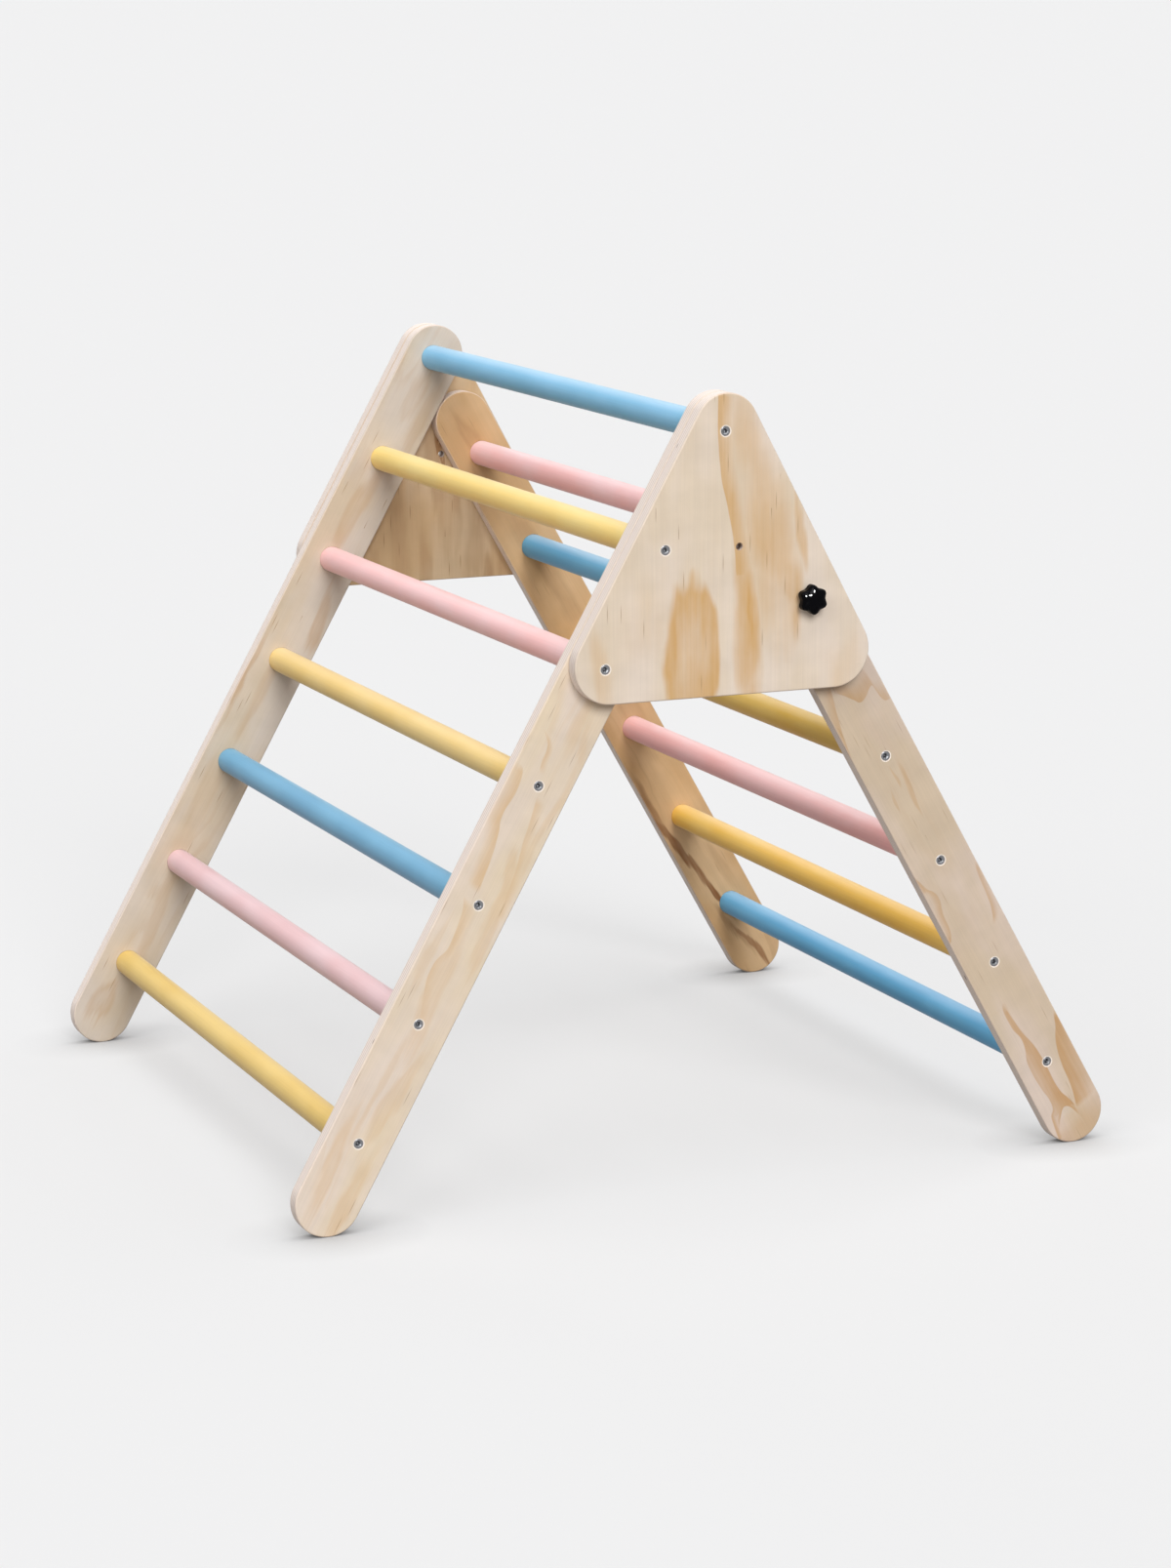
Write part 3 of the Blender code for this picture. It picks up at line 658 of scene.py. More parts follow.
# %% [markdown]
# A rail or a plate is sawn to its outline, drilled and rounded over along both faces. The outline
# is a few arcs, each a vertex spun about its corner's centre, joined by straight sides. The flat
# blank is extruded to its thickness and its rims are bevelled. Drilling takes out the two flat
# faces, turns each hole's wall as a tube, and fills the faces again around the tubes' mouths.

# %% Saw, round over and drill a board
ARC_STEPS, HOLE_STEPS = 96, 48
ARRIS, ARRIS_STEPS = 1.6, 4
RECESS = 0.3
ON_PLANE = 0.001


def saw_outline(shape, corners):
    """Arcs of (y, z), radius, start and end, with angles from straight down towards +y."""
    ends = []
    for (y, z), radius, start, end in corners:
        first = shape.verts.new((0, y + radius * sin(start), z - radius * cos(start)))
        steps = max(2, round(ARC_STEPS * (end - start) / (2 * pi)))
        swept = bmesh.ops.spin(shape, geom=[first], cent=(0, y, z), axis=(1, 0, 0), dvec=(0, 0, 0),
                               angle=end - start, steps=steps)
        last = [v for v in swept["geom_last"] if isinstance(v, bmesh.types.BMVert)][0]
        ends.append((first, last))
    for (_, last), (first, _) in zip(ends, ends[1:] + ends[:1]):
        shape.edges.new((last, first))


def thicken(shape):
    """Fill the outline, extrude it to a board centred on x = 0 and round its rims over."""
    face = bmesh.ops.contextual_create(shape, geom=shape.edges[:])["faces"][0]
    grown = bmesh.ops.extrude_face_region(shape, geom=[face])
    moved = [v for v in grown["geom"] if isinstance(v, bmesh.types.BMVert)]
    bmesh.ops.translate(shape, verts=moved, vec=(BOARD_THICKNESS, 0, 0))
    bmesh.ops.translate(shape, verts=shape.verts, vec=(-HALF, 0, 0))
    rims = [e for e in shape.edges if e.verts[0].co.x * e.verts[1].co.x > 0]
    bmesh.ops.bevel(shape, geom=rims, offset=ARRIS, segments=ARRIS_STEPS, profile=0.5, material=-1,
                    affect="EDGES")


def drill(shape, holes):
    """Open both faces, add the walls of the holes, given as profile and places, and fill again."""
    flats = [f for f in shape.faces if abs(abs(f.calc_center_median().x) - HALF) < ON_PLANE]
    bmesh.ops.delete(shape, geom=flats, context="FACES_ONLY")
    lacquered = set(shape.faces)
    for profile, places in holes:
        for place in places:
            spin_profile(shape, profile, HOLE_STEPS, place)
    for face in set(shape.faces) - lacquered:
        if abs(face.calc_center_median().x) > HALF - RECESS:
            face.material_index = 1
    for side in (-1, 1):
        mouths = [e for e in shape.edges if e.is_boundary
                  and all(abs(v.co.x - side * HALF) < ON_PLANE for v in e.verts)]
        bmesh.ops.triangle_fill(shape, edges=mouths, use_beauty=True, normal=(side, 0, 0))


def flatten_shading(piece):
    """Flat faces stay flat beside rounded edges, because large faces set the normals."""
    weights = piece.modifiers.new("weighted_normals", "WEIGHTED_NORMAL")
    weights.keep_sharp = True


def finish_board(name, shape, middle, tilt, body, veneer):
    """Give a board its own plywood finish, and bare wood in the rims of its countersinks."""
    finish = plywood("lacquered_plywood_" + name, middle, tilt, **veneer)
    board = finish_piece(name + "_board", shape, finish, at(*middle, tilt), body, name)
    board.data.materials.append(bare_wood)
    flatten_shading(board)
    print(board.name, "faces:", len(board.data.polygons))


# %% [markdown]
# A screw's hole starts with a wide countersink, whose rim shows a ring of bare wood round the head,
# and goes on as a plain bore. On the rails it opens into the seat of the rung on the inner face. The
# three screws that hold a plate pass the rail under it in a plain bore, without a countersink.

# %% Profiles of the holes
HEAD, CONE, SHANK, BARE_RING = 5.0, 3.0, 3.2, 1.1
SEAT_FLOOR = SEAT_DEPTH - HALF


def countersink(side, bottom):
    """The hole of a screw from the outer face down to the given depth."""
    return [(side * HALF, HEAD + FIT + BARE_RING), (side * (HALF - RECESS), HEAD + FIT),
            (side * (HALF - RECESS - CONE), SHANK + FIT), (side * bottom, SHANK + FIT)]


def rung_seat(side):
    """The blind seat of a rung in the inner face."""
    return [(side * SEAT_FLOOR, RUNG_RADIUS + FIT), (side * -HALF, RUNG_RADIUS + FIT)]


def in_view(side):
    """A hole with a countersink and a seat."""
    return countersink(side, SEAT_FLOOR) + rung_seat(side)


def under_plate(side):
    """A plain bore with a seat."""
    return [(side * HALF, SHANK + FIT), (side * SEAT_FLOOR, SHANK + FIT)] + rung_seat(side)


print("countersink width:", 2 * (HEAD + FIT + BARE_RING), "mm")

# %% [markdown]
# Each board's veneer was cut from another place in the tree, so each rail has its own figures. In
# the rail's own frame Z runs up the rail and the first rung is at zero. The right front rail has
# wavy amber streaks, the right rear one an arch near its top and sharp cathedral points at its foot,
# and the left rear one a dark flame.

# %% Figures of the rails
FRONT_LEFT_FIGURES = (
    (2, -50, 10, 34, 0, 0.4, 0.4, 0.5), (24, -70, 8, 50, 0, 0.35, 0.1, 0.5),
    (-1, -212, 9, 66, -4, 0.45, 0.3, 0.5), (20, -345, 8, 44, 6, 0.55, 0.2, 0.45),
    (-33, -445, 4, 60, 0, 0.5, 0.0, 0.5), (-5, -455, 8, 60, 0, 0.4, 0.2, 0.5),
    (-10, -600, 11, 70, 0, 0.3, 0.3, 0.5), (4, -760, 8, 60, 3, 0.35, 0.2, 0.5),
    (-8, -880, 12, 30, 0, 0.5, 0.5, 0.4),
)
FRONT_RIGHT_FIGURES = (
    (22, -566, 7, 54, 4, 0.45, 0.2, 0.5), (1, -665, 9, 62, 2, 0.5, 0.3, 0.6),
    (15, -512, 6, 36, 6, 0.4, 0.1, 0.5), (-24, -622, 6, 44, 0, 0.35, 0.1, 0.5),
    (14, -760, 9, 60, -6, 0.45, 0.3, 0.5), (-18, -850, 8, 60, 4, 0.5, 0.3, 0.5),
    (18, -880, 8, 40, 0, 0.5, 0.2, 0.5), (28, -450, 4, 70, 0, 0.3, 0.0, 0.5),
    (-8, -760, 5, 70, -2, 0.3, 0.0, 0.5), (10, -330, 8, 40, 4, 0.35, 0.0, 0.6),
    (26, -350, 6, 30, 10, 0.35, 0.0, 0.6),
)
FRONT_RIGHT_EDGES = (
    # Three wavy streaks beside the fourth and fifth rungs, and one beside the sixth
    ("Z", ((-540, -6), (-500, -11), (-472, -18), (-455, -22), (-426, -20), (-398, -30)), -1, 0.7, 22, False),
    ("Z", ((-402, -5), (-388, -10), (-376, -11), (-366, -17), (-358, -27)), 1, 0.6, 10, False),
    ("Z", ((-560, 25), (-498, 19), (-468, 13), (-446, 9), (-420, 3)), 1, 0.5, 15, False),
    ("Z", ((-700, 0), (-678, -3), (-657, -9), (-627, -15), (-601, -9), (-547, -21)), 1, 0.6, 20, False),
)
REAR_LEFT_FIGURES = (
    (-6, 20, 11, 50, 0, 0.35, 0.3, 0.5), (2, -180, 14, 90, 4, 0.35, 0.3, 0.5),
    (8, -410, 13, 60, 0, 0.4, 0.4, 0.5), (-25, -572, 5, 62, 9, 1.0, 0.0, 0.3),
    (-12, -640, 3.5, 60, 9, 0.95, 0.0, 0.3), (-31, -520, 5, 50, 4, 0.7, 0.0, 0.5),
    (-2, -755, 4, 50, 14, 0.85, 0.0, 0.4), (-12, -720, 5, 50, 8, 0.5, 0.0, 0.5),
    (14, -640, 8, 50, 0, 0.3, 0.0, 0.5),
)
REAR_RIGHT_FIGURES = (
    (-1, -296, 2, 14, 2, 0.45, 0.0, 0.5), (6, -318, 2.5, 30, 0, 0.5, 0.0, 0.5),
    (-17, -320, 2, 10, 0, 0.4, 0.0, 0.4), (0, -812, 46, 66, 0, 0.45, 0.0, 0.5),
)
REAR_RIGHT_EDGES = (
    # The arch under the side plate, from its long left leg to its scalloped crown
    ("Z", ((-260, -37), (-243, -34.5), (-231, -33), (-221, -31), (-203, -27), (-189, -23), (-170, -18)),
     -1, 0.65, 16, False),
    ("Y", ((-20, -181), (-9, -190), (-2, -198), (4, -205), (11, -204.6), (18, -200), (22.5, -199),
           (23.5, -206), (24.5, -215), (28, -221.5), (38, -222)), 1, 0.65, 32, False),
    # A scallop at each side of the third gap
    ("Z", ((-510, -38), (-502, -35), (-498, -32), (-485, -28), (-471, -27.5), (-460, -25), (-447, -22),
           (-437, -24), (-432, -29), (-419, -33), (-404, -37)), -1, 0.7, 13, False),
    ("Z", ((-514, 19), (-495, 25.6), (-479, 27.6), (-460, 28.8), (-436, 33)), 1, 0.6, 9, False),
    # The two legs of the cathedral point at the foot, and the outline that closes it on the right
    ("Z", ((-756, 8), (-751, 5), (-739, 1.7), (-717, -4.3), (-690, -4), (-661, -6), (-633, -11),
           (-600, -13)), -1, 0.85, 60, False),
    ("Z", ((-785, -30), (-769, -28.6), (-747, -25.5), (-731, -19), (-709, -21), (-684, -21.5),
           (-649, -13.5), (-625, -17.6), (-596, -14)), 1, 0.8, 8, True),
    ("Z", ((-758, 4), (-751, 6), (-723, 13), (-703, 14), (-678, 18), (-653, 29), (-640, 34)),
     1, 0.85, 42, False),
)
RAIL_VENEERS = {
    # tones of the sapwood, of the cream clouds and of the late wood; how strong the growth rings and
    # the dashes are; how far the figures' ends fray; and gaps in the board's edge
    "front_rail_left": dict(tones=("#D0C5B9", "#CCBCA5", "#B48B5A"), seed=22.1, figures=FRONT_LEFT_FIGURES,
                            rings=0.25, fray=12, dashes=0.8),
    "front_rail_right": dict(tones=("#E1D3C6", "#DFCFB7", "#D2AB76"), seed=23.8, rings=0.2, fray=10,
                             dashes=0.6, figures=FRONT_RIGHT_FIGURES, edges=FRONT_RIGHT_EDGES,
                             voids_and_hole_shade=(((6, -34, -723), (2, 3, 5)),)),
    "rear_rail_left": dict(tones=("#DCBA8F", "#D1AA7B", "#8A5A33"), seed=25.5, figures=REAR_LEFT_FIGURES,
                           rings=0.25, fray=10, dashes=0.45),
    "rear_rail_right": dict(tones=("#D5C4B7", "#CCBAA3", "#BD9568"), seed=27.2, rings=0.12, fray=3,
                            dashes=0.4, figures=REAR_RIGHT_FIGURES, edges=REAR_RIGHT_EDGES,
                            tongues=((-7, -745, 11, 14, 172, 0.8, 1.2),),
                            voids_and_hole_shade=(((3, -36, -548), (1.5, 3, 4)),)),
}
print("rails with figures:", len(RAIL_VENEERS))

# %% [markdown]
# The four rails have one section and differ in length and holes. Both ends are full half rounds,
# and each foot has a small flat worn by the floor, which is level while the rail leans. The rear
# rails have a round well in the outer face for the knob's threaded insert.

# %% Rails
FOOT_END, FOOT_FLAT = 69, 4
END_RADIUS = RAIL_WIDTH / 2
# The frame's round ends are faceted, and a hair less keeps the finer arcs here inside them
END_RADIUS_DRAWN = END_RADIUS - 0.03
WELL_RADIUS, WELL_DEPTH = 6.3, 16


def rail_outline(ladder):
    """Arcs of a rail's two ends; the worn flat interrupts the one of the foot."""
    foot = (0, -(ladder["rungs"] - 1) * RUNG_SPACING - FOOT_END)
    level = -ladder["tilt"]
    worn = atan2(FOOT_FLAT / 2, END_RADIUS_DRAWN)
    return [(foot, END_RADIUS_DRAWN, -pi / 2, level - worn), (foot, END_RADIUS_DRAWN, level + worn, pi / 2),
            ((0, ladder["top_end"]), END_RADIUS_DRAWN, pi / 2, 3 * pi / 2)]


def rail_holes(kind, ladder, side):
    """The holes of a rail's rungs, and on a rear rail the well of the insert."""
    rungs = [(0, -i * RUNG_SPACING) for i in range(ladder["rungs"])]
    if kind == "front":
        return [(under_plate(side), rungs[:PLATE_SCREWED]), (in_view(side), rungs[PLATE_SCREWED:])]
    floor_x = side * (HALF - WELL_DEPTH)
    well = [(side * HALF, WELL_RADIUS), (floor_x, WELL_RADIUS), (floor_x, 0)]
    return [(in_view(side), rungs), (well, [(0, -RUNG_SPACING / 2)])]


for kind, ladder in LADDERS.items():
    for word, side in SIDES:
        name = "%s_rail_%s" % (kind, word)
        shape = bmesh.new()
        saw_outline(shape, rail_outline(ladder))
        thicken(shape)
        drill(shape, rail_holes(kind, ladder, side))
        middle = (side * (INNER_FACE + HALF), *ladder["first_rung"])
        finish_board(name, shape, middle, ladder["tilt"], ladder["body"], RAIL_VENEERS[name])

# %% [markdown]
# The plates' veneers are wider and show more of the tree. In a plate's frame the first front rung is
# at zero, with Y towards the rear and Z up. The right plate has a long amber band with one sharp
# side and a tall arch at its lower edge. The walls of the storage holes are painted dark brown as
# shade, but for their mouths.

# %% Figures of the side plates
STORAGE_GAP, STORAGE_DROP = 1, 97.3
beside_rail = RAIL_WIDTH + STORAGE_GAP
down_rail = down(-LEAN, STORAGE_DROP)
STORAGE_HOLE = (beside_rail * cos(LEAN) + down_rail[0], down_rail[1] - beside_rail * sin(LEAN))
# Painted shade: dark brown on the walls of the storage hole, which lie in shade
HOLE_SHADE = ((0, *STORAGE_HOLE), (7, 8, 8))

PLATE_LEFT_FIGURES = (
    (6, -130, 11, 60, 4, 0.5, 0.2, 0.5), (22, -185, 14, 60, 0, 0.4, 0.3, 0.5),
    (-40, -225, 12, 60, 0, 0.35, 0.2, 0.6), (60, -235, 12, 50, 0, 0.35, 0.2, 0.6),
    (14, -108, 4, 12, 20, 1.0, 0.0, 0.3), (19, -126, 3, 10, 20, 1.0, 0.0, 0.3),
    (-85, -260, 18, 30, 0, 0.3, 0.2, 0.6), (100, -262, 12, 40, 0, 0.35, 0.2, 0.6),
    (-8, -260, 8, 50, 0, 0.4, 0.1, 0.6), (38, -188, 6, 40, 0, 0.5, 0.0, 0.6),
    (75, -276, 6, 30, 0, 0.5, 0.0, 0.6),
)
PLATE_RIGHT_FIGURES = (
    (32, -30, 20, 70, 14, 0.48, 0.0, 0.8), (48, -100, 24, 70, 12, 0.6, 0.0, 0.8),
    (54, -172, 22, 60, 5, 0.42, 0.0, 0.8), (-40, -233, 31, 88, 0, 0.85, 0.25, 0.13),
    (-61, -215, 7, 42, 2, 0.9, 0.0, 0.6), (-38, -172, 14, 20, 0, 0.6, 0.0, 0.6),
    (24, -210, 15, 84, 2, 0.75, 0.0, 0.45), (27, -196, 6, 50, 0, 0.9, 0.0, 0.7),
    (66, -130, 16, 60, 4, 0.55, 0.0, 0.7), (86, -104, 5, 40, 6, 0.6, 0.0, 0.6),
    (76, -160, 9, 42, 0, 0.65, 0.0, 0.6), (75, -196, 7, 18, 2, 0.6, 0.0, 0.8),
    (58, -90, 8, 30, 20, 0.5, 0.0, 0.7), (-140, -240, 9, 36, 8, 0.4, 0.0, 0.8),
    (138, -252, 22, 30, 0, 0.3, 0.0, 0.8), (-92, -190, 28, 44, 0, 0.2, 0.0, 0.8),
)
PLATE_RIGHT_EDGES = (
    ("Z", ((-158, 14), (-125, 11), (-97, 6), (-68, 0), (-38, -5.5), (-7, -8.5), (44, -9)),
     1, 0.85, 28, False),
)
PLATE_VENEERS = {
    "left": dict(tones=("#D3BA98", "#CBAC84", "#966C44"), seed=22.1, figures=PLATE_LEFT_FIGURES,
                 rings=0.2, fray=14, dashes=1.0, voids_and_hole_shade=(HOLE_SHADE,)),
    "right": dict(tones=("#E3D6C9", "#DDCEBA", "#CCA063"), seed=23.4, rings=0.08, fray=3, dashes=0.7,
                  figures=PLATE_RIGHT_FIGURES, edges=PLATE_RIGHT_EDGES,
                  voids_and_hole_shade=(((-3, -48, -18), (1.5, 3, 7)), HOLE_SHADE)),
}
print("storage hole from the first rung, in mm:", [round(v, 2) for v in STORAGE_HOLE])

# %% [markdown]
# A side plate is a triangle with generous corners. Its front edge is flush with the front rail, its
# lower edge is level and its rear edge runs a little beyond the rear rail. Three screws hold it, the
# knob's stud passes a plain hole, and a second hole is for storage.

# %% Side plates
CORNER_RADIUS, REAR_SLOPE, STUD_HOLE = 40, radians(28.2), 4.0
PLATE_DROP = 276.8  # from the first rung's axis straight down to the plate's lower edge


def lower_corner(top, tilt, inset):
    """Centre of a lower corner's arc, which touches a sloping edge and the level lower edge."""
    y = top[0] + inset * cos(tilt)
    z = top[1] + inset * sin(tilt)
    drop = z + PLATE_DROP - CORNER_RADIUS
    return (y + drop * sin(tilt) / cos(tilt), z - drop)


front_ladder = LADDERS["front"]
top = down(-LEAN, -front_ladder["top_end"])
front_corner = lower_corner(top, -LEAN, CORNER_RADIUS - END_RADIUS)
rear_corner = lower_corner(top, REAR_SLOPE, END_RADIUS - CORNER_RADIUS)
plate_outline = [(rear_corner, CORNER_RADIUS, 0, pi / 2 + REAR_SLOPE),
                 (top, END_RADIUS, pi / 2 + REAR_SLOPE, 3 * pi / 2 - LEAN),
                 (front_corner, CORNER_RADIUS, 3 * pi / 2 - LEAN, 2 * pi)]
screw_places = [down(-LEAN, i * RUNG_SPACING) for i in range(PLATE_SCREWED)]
stud_place = tuple(KNOB_AXIS[i] - front_ladder["first_rung"][i] for i in (0, 1))

for word, side in SIDES:
    shape = bmesh.new()
    saw_outline(shape, plate_outline)
    thicken(shape)
    bore = [(side * HALF, STUD_HOLE), (side * -HALF, STUD_HOLE)]
    drill(shape, [(countersink(side, -HALF), screw_places), (bore, [stud_place, STORAGE_HOLE])])
    middle = (side * (RAIL_OUTER + FACE_GAP + HALF), *front_ladder["first_rung"])
    finish_board("side_plate_" + word, shape, middle, 0.0, front_ladder["body"], PLATE_VENEERS[word])

# %% [markdown]
# A rung is a dowel cut to length, with eased ends that go into the rails and a bore in each end for
# its screw. It is one closed profile turned once round its axis. Each rung was painted by hand, so
# that two of the same colour differ a little, and one front rung is a paler pink. The tones of the
# front rungs are also painted darker towards the floor, as painted shade for the light that falls
# off downwards.

# %% Rungs
PLATE_SCREW, RAIL_SCREW, BORE_PLAY = 70, 50, 2
RUNG_END = INNER_FACE + SEAT_DEPTH - FACE_GAP
BORE_BOTTOM = PLATE_OUTER - PLATE_SCREW - BORE_PLAY
EASED, RUNG_STEPS = 0.8, 72
# The front tones get darker towards the floor: painted shade
PAINTS = {
    # colour, its tone and the tone of its paler patches, and the strength of the painted highlight on top
    "front": (("blue", "#79BADF", "#86C2E6", 0.2), ("yellow", "#F7D57B", "#F7DC8C", 0.12),
              ("pink", "#F5BFBE", "#F5CCCD", 0.12), ("yellow", "#EDC977", "#F0D18A", 0.12),
              ("blue", "#68A3C6", "#74ADCE", 0.0), ("pale_pink", "#E1B9BB", "#E5C5C8", 0.0),
              ("yellow", "#DFBD6B", "#E4C67C", 0.0)),
    "rear": (("pink", "#F5BDBD", "#F5CDD0", 0.22), ("blue", "#5EA7D0", "#6CB1D7", 0.22),
             ("yellow", "#E1B54C", "#E5C066", 0.13), ("pink", "#F4B8B7", "#F5C7C9", 0.2),
             ("yellow", "#F2C255", "#F5CD70", 0.15), ("blue", "#61ABD8", "#6FB5DF", 0.15)),
}
half_rung = [(BORE_BOTTOM, 0), (BORE_BOTTOM, SHANK + FIT), (RUNG_END, SHANK + FIT),
             (RUNG_END, RUNG_RADIUS - EASED), (RUNG_END - EASED, RUNG_RADIUS)]
whole_rung = half_rung + [(-x, radius) for x, radius in reversed(half_rung)]

for kind, ladder in LADDERS.items():
    for number, (colour, tone, patch_tone, painted_top_highlight) in enumerate(PAINTS[kind], 1):
        name = "%s_rung_%d" % (kind, number)
        shape = bmesh.new()
        spin_profile(shape, whole_rung, RUNG_STEPS)
        finish = rung_paint("matte_%s_paint_%s" % (colour, name), tone, patch_tone, painted_top_highlight, 2.3 * number)
        finish_piece(name + "_dowel", shape, finish, at(0, *rung_place(ladder, number)), ladder["body"],
                     name)
print("rungs:", sum(len(paints) for paints in PAINTS.values()))

# %% [markdown]
# The connecting screws have flat countersunk heads with a hexagon socket. The shank and the cone are
# turned. The socket starts as a six-sided ring, its sides are cut into small steps so that it can be
# bridged to the round head, and it is then extruded inwards and closed by a shallow drill point.

# %% Screws
SCREW_STEPS, SOCKET_SIDES = 48, 6
SOCKET_RADIUS, SOCKET_START, SOCKET_DEPTH, SOCKET_MOUTH = 2.31, 1.0, 3.4, 3.25
DRILL_POINT = 0.6
TIP_LENGTH = 4
# The frame's shanks are faceted, and a thinner one stays inside them
SHANK_DRAWN = SHANK - 0.2
HEAD_PROFILE = (
    # (x, radius) from the cone over the rim and a shallow groove to the mouth of the socket
    (-CONE, SHANK_DRAWN), (-0.35, HEAD), (-0.12, HEAD), (0, HEAD - 0.25), (-0.10, SOCKET_MOUTH + 0.9),
    (0, SOCKET_MOUTH + 0.4), (0, SOCKET_MOUTH),
)


def screw_shape(length):
    """A screw with its head's top at x = 0 and its tip at -length."""
    shape = bmesh.new()
    tip = [(-length, 0), (-length + 0.6, 0.8), (-length + TIP_LENGTH, SHANK_DRAWN)]
    spin_profile(shape, [*tip, *HEAD_PROFILE], SCREW_STEPS)
    bmesh.ops.remove_doubles(shape, verts=shape.verts, dist=SAME_SPOT)
    mouth = [e for e in shape.edges if e.is_boundary]
    place = Matrix.Translation((-SOCKET_START, 0, 0)) @ Matrix.Rotation(pi / 2, 4, "Y")
    ring = bmesh.ops.create_circle(shape, segments=SOCKET_SIDES, radius=SOCKET_RADIUS, matrix=place)
    sides = list({e for v in ring["verts"] for e in v.link_edges})
    bmesh.ops.subdivide_edges(shape, edges=sides, cuts=SCREW_STEPS // SOCKET_SIDES - 1)
    hexagon = [e for e in shape.edges if e.is_wire]
    bmesh.ops.bridge_loops(shape, edges=mouth + hexagon)
    rim = [e for e in shape.edges if e.is_boundary]
    grown = bmesh.ops.extrude_edge_only(shape, edges=rim)["geom"]
    bmesh.ops.translate(shape, verts=[v for v in grown if isinstance(v, bmesh.types.BMVert)],
                        vec=(-SOCKET_DEPTH, 0, 0))
    rim = [e for e in shape.edges if e.is_boundary]
    bottom = bmesh.ops.contextual_create(shape, geom=rim)["faces"]
    bmesh.ops.poke(shape, faces=bottom, offset=-DRILL_POINT)
    return shape


for kind, ladder in LADDERS.items():
    for number in range(1, ladder["rungs"] + 1):
        for word, side in SIDES:
            on_plate = kind == "front" and number <= PLATE_SCREWED
            name = "%s_screw_%s_%d" % ("plate" if on_plate else kind + "_rail", word, number)
            face, length = (PLATE_OUTER, PLATE_SCREW) if on_plate else (RAIL_OUTER, RAIL_SCREW)
            # Each socket happens to stop at its own angle
            place = outward(side, face - RECESS, *rung_place(ladder, number), 0.7 * number + side)
            finish_piece(name + "_head_and_shank", screw_shape(length), zinc, place, ladder["body"], name,
                         25)

# %% [markdown]
# A star knob has six round lobes, a straight rim to grip and a domed top that flows into the rim.
# It starts as a ring of vertices. Each further ring is extruded from the last one and then set to
# its height and width, while the share of the lobes' depth fades towards the middle of the dome.

# %% Star knobs
KNOB_BASE = PLATE_OUTER + 2 * FACE_GAP + WASHER_THICKNESS
KNOB_RADIUS, LOBES, LOBE_DEPTH, KNOB_TURN = 16.0, 6, 2.8, radians(4)
KNOB_STEPS = 144
KNOB_RINGS = (
    # height over the base, share of the radius, share of the lobes' depth
    (9.2, 0.265, 0.0), (0.0, 0.265, 0.0), (0.0, 0.44, 0.0), (0.25, 0.48, 0.0), (0.5, 0.5, 0.0),
    (2.6, 0.5, 0.0), (3.0, 0.53, 0.0), (3.0, 0.90, 0.9), (3.15, 0.955, 1.0), (3.6, 0.99, 1.0),
    (4.3, 1.0, 1.0), (10.4, 1.0, 1.0), (11.3, 0.992, 1.0), (12.2, 0.967, 0.97), (13.0, 0.925, 0.93),
    (13.7, 0.865, 0.86), (14.4, 0.775, 0.74), (15.0, 0.66, 0.55), (15.45, 0.53, 0.36), (15.75, 0.38, 0.2),
    (15.92, 0.2, 0.08), (15.98, 0.06, 0.0),
)


def shape_ring(ring, height, width, lobe):
    """Set a ring of vertices to its height and width, with the valleys between the lobes."""
    for vert in ring:
        angle = atan2(vert.co.y, vert.co.z)
        valley = (1 - cos(LOBES * angle)) / 2
        radius = KNOB_RADIUS * width - LOBE_DEPTH * lobe * valley
        vert.co = (height, radius * sin(angle), radius * cos(angle))


def knob_shape():
    """A knob with its base at x = 0 and its dome towards +x, hollow from below for its stud."""
    shape = bmesh.new()
    bmesh.ops.create_circle(shape, segments=KNOB_STEPS, radius=1.0, matrix=Matrix.Rotation(pi / 2, 4, "Y"))
    edges = shape.edges[:]
    shape_ring(shape.verts[:], *KNOB_RINGS[0])
    for ring in KNOB_RINGS[1:]:
        grown = bmesh.ops.extrude_edge_only(shape, edges=edges)["geom"]
        edges = [e for e in grown if isinstance(e, bmesh.types.BMEdge)]
        shape_ring([v for v in grown if isinstance(v, bmesh.types.BMVert)], *ring)
    for end in (edges, [e for e in shape.edges if e.is_boundary and e not in edges]):
        bmesh.ops.contextual_create(shape, geom=end)
    return shape


knobs = []
for word, side in SIDES:
    place = outward(side, KNOB_BASE, *KNOB_AXIS, KNOB_TURN)
    knob = finish_piece("knob_%s_head" % word, knob_shape(), phenolic, place, word + "_knob",
                        "knob_" + word, 35)
    flatten_shading(knob)
    knobs.append(knob)
    print(knob.name, "faces:", len(knob.data.polygons))

# %% [markdown]
# A black gloss shows only what it mirrors. In a product studio two narrow bright cards would stand
# beside the camera, flagged off the rest of the object, to draw crisp glints on each dome. Here two
# small lamps do the same, and light linking keeps them off everything but the knobs.

# %% Glints on the knobs
CARD_STRENGTH, CARD_ANGLE = 26.0, 15
glossy = bpy.data.collections.new("glossy_knobs")
for knob in knobs:
    glossy.objects.link(knob)
for name, towards in (("card_low", (0.98, -0.19, 0.14)), ("card_high", (0.92, 0.29, 0.29))):
    card = lamp(name, towards, CARD_STRENGTH, CARD_ANGLE)
    card.visible_diffuse = False
    card.light_linking.receiver_collection = glossy
print("lamps with the cards:", len(bpy.data.lights))

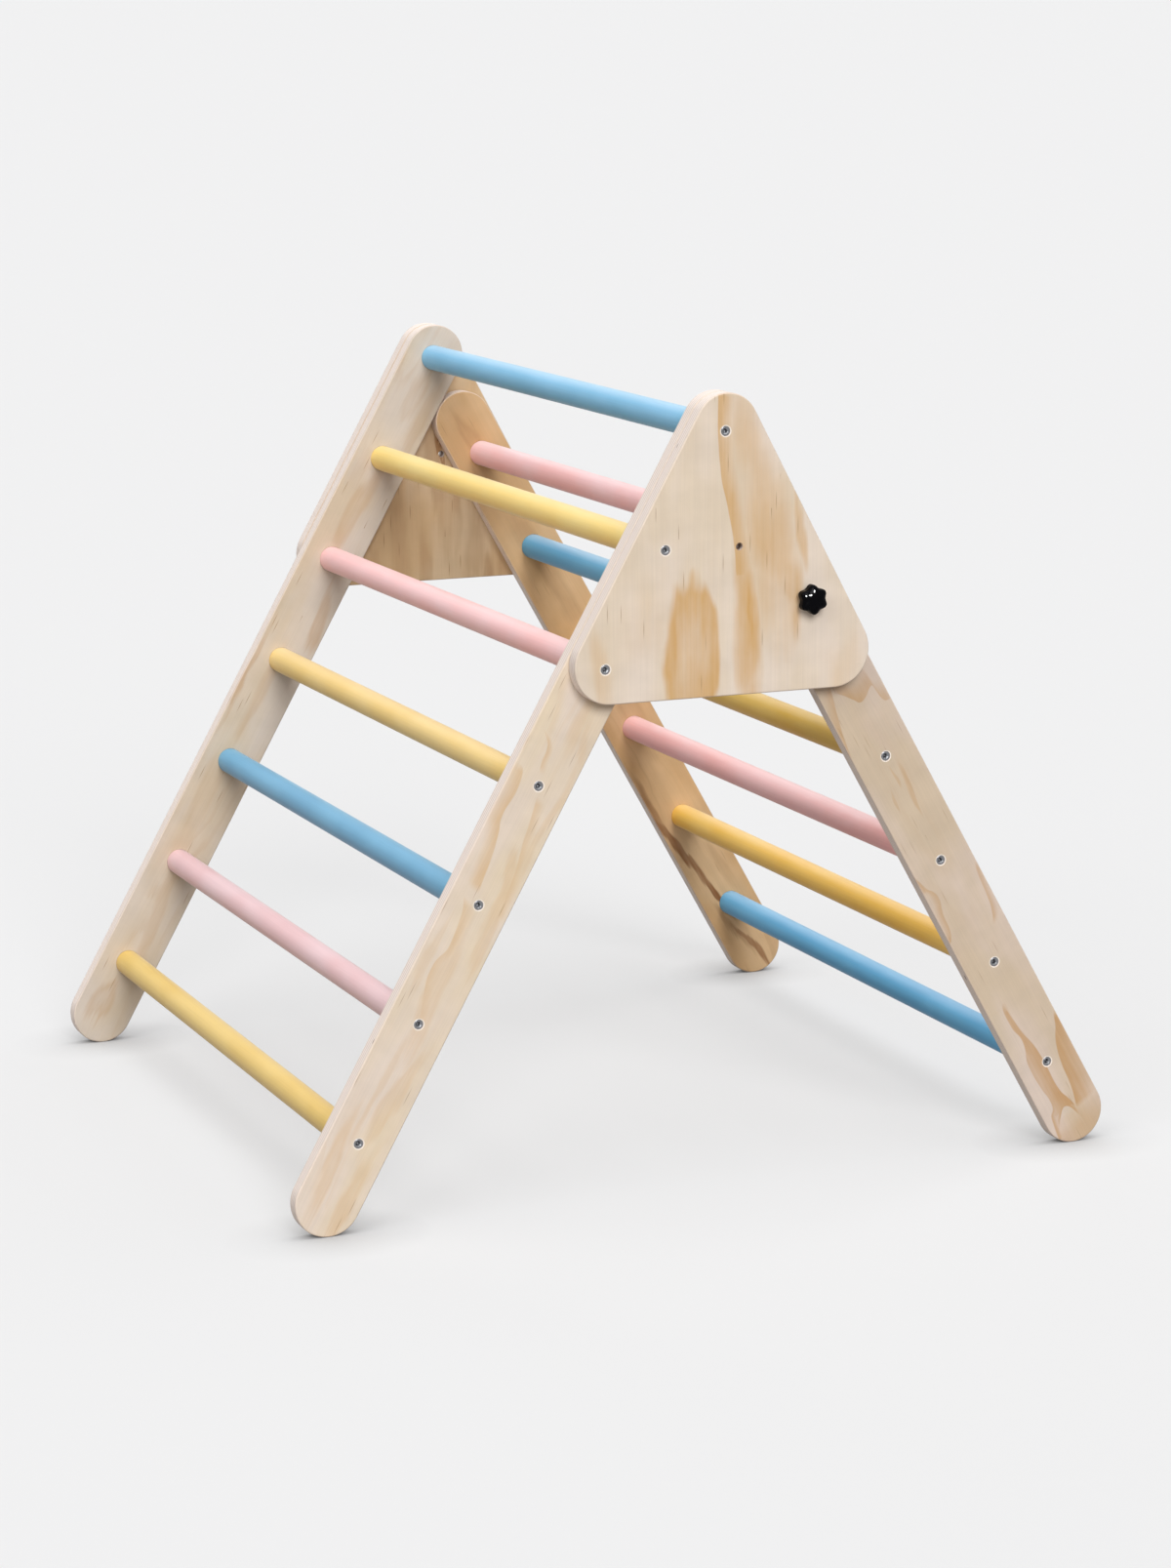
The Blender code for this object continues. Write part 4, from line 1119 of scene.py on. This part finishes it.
# %% [markdown]
# Under each knob lie a flat washer and an M8 stud that is moulded into the knob. The thread is drawn
# as closed ridges at its true pitch of 1.25 mm, because at this size nobody can tell them from a
# helix. The brass inserts stay as the frame has them, since the plates always cover them.

# %% Washers, studs and inserts
WASHER_BORE, WASHER_RADIUS, WASHER_EASED, WASHER_NICK = 4.3, 8.5, 0.3, 0.15
STUD_LENGTH, STUD_GRIP = 40.0, 9.0
PITCH, ROOT, CREST = 1.25, 3.35, 3.93
THREAD_START = 1 - STUD_LENGTH
RIDGES = int((STUD_LENGTH - STUD_GRIP) / PITCH)

inner_wall = [(WASHER_NICK, WASHER_BORE), (0, WASHER_BORE + WASHER_NICK)]
outer_wall = [(0, WASHER_RADIUS - WASHER_EASED), (WASHER_EASED, WASHER_RADIUS)]
near_half = inner_wall + outer_wall
far_half = [(WASHER_THICKNESS - x, radius) for x, radius in reversed(near_half)]
washer_profile = near_half + far_half + near_half[:1]

stud_profile = [(-STUD_LENGTH, 0), (-STUD_LENGTH, 3.1), (0.8 - STUD_LENGTH, 3.6)]
for i in range(RIDGES):
    x = THREAD_START + i * PITCH
    stud_profile += [(x, ROOT), (x + 0.12 * PITCH, ROOT), (x + 0.48 * PITCH, CREST), (x + 0.6 * PITCH, CREST)]
stud_profile += [(THREAD_START + RIDGES * PITCH, ROOT), (0, ROOT), (0, 0)]

for word, side in SIDES:
    washer = bmesh.new()
    spin_profile(washer, washer_profile, 64)
    place = outward(side, PLATE_OUTER + FACE_GAP, *KNOB_AXIS)
    finish_piece("knob_washer_%s_ring" % word, washer, zinc, place, word + "_washer",
                 "knob_washer_" + word, 25)
    stud = bmesh.new()
    spin_profile(stud, stud_profile, 40)
    finish_piece("knob_stud_%s_thread" % word, stud, zinc, outward(side, KNOB_BASE + STUD_GRIP, *KNOB_AXIS),
                 word + "_knob", "knob_stud_" + word, 25)
    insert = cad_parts["threaded_insert_" + word]
    insert.data.materials.clear()
    insert.data.materials.append(brass)
print("ridges on a stud:", RIDGES)

# %% [markdown]
# The last step brings the scene up to date, so that every piece stands at its place.

# %% Finish
bpy.context.view_layer.update()
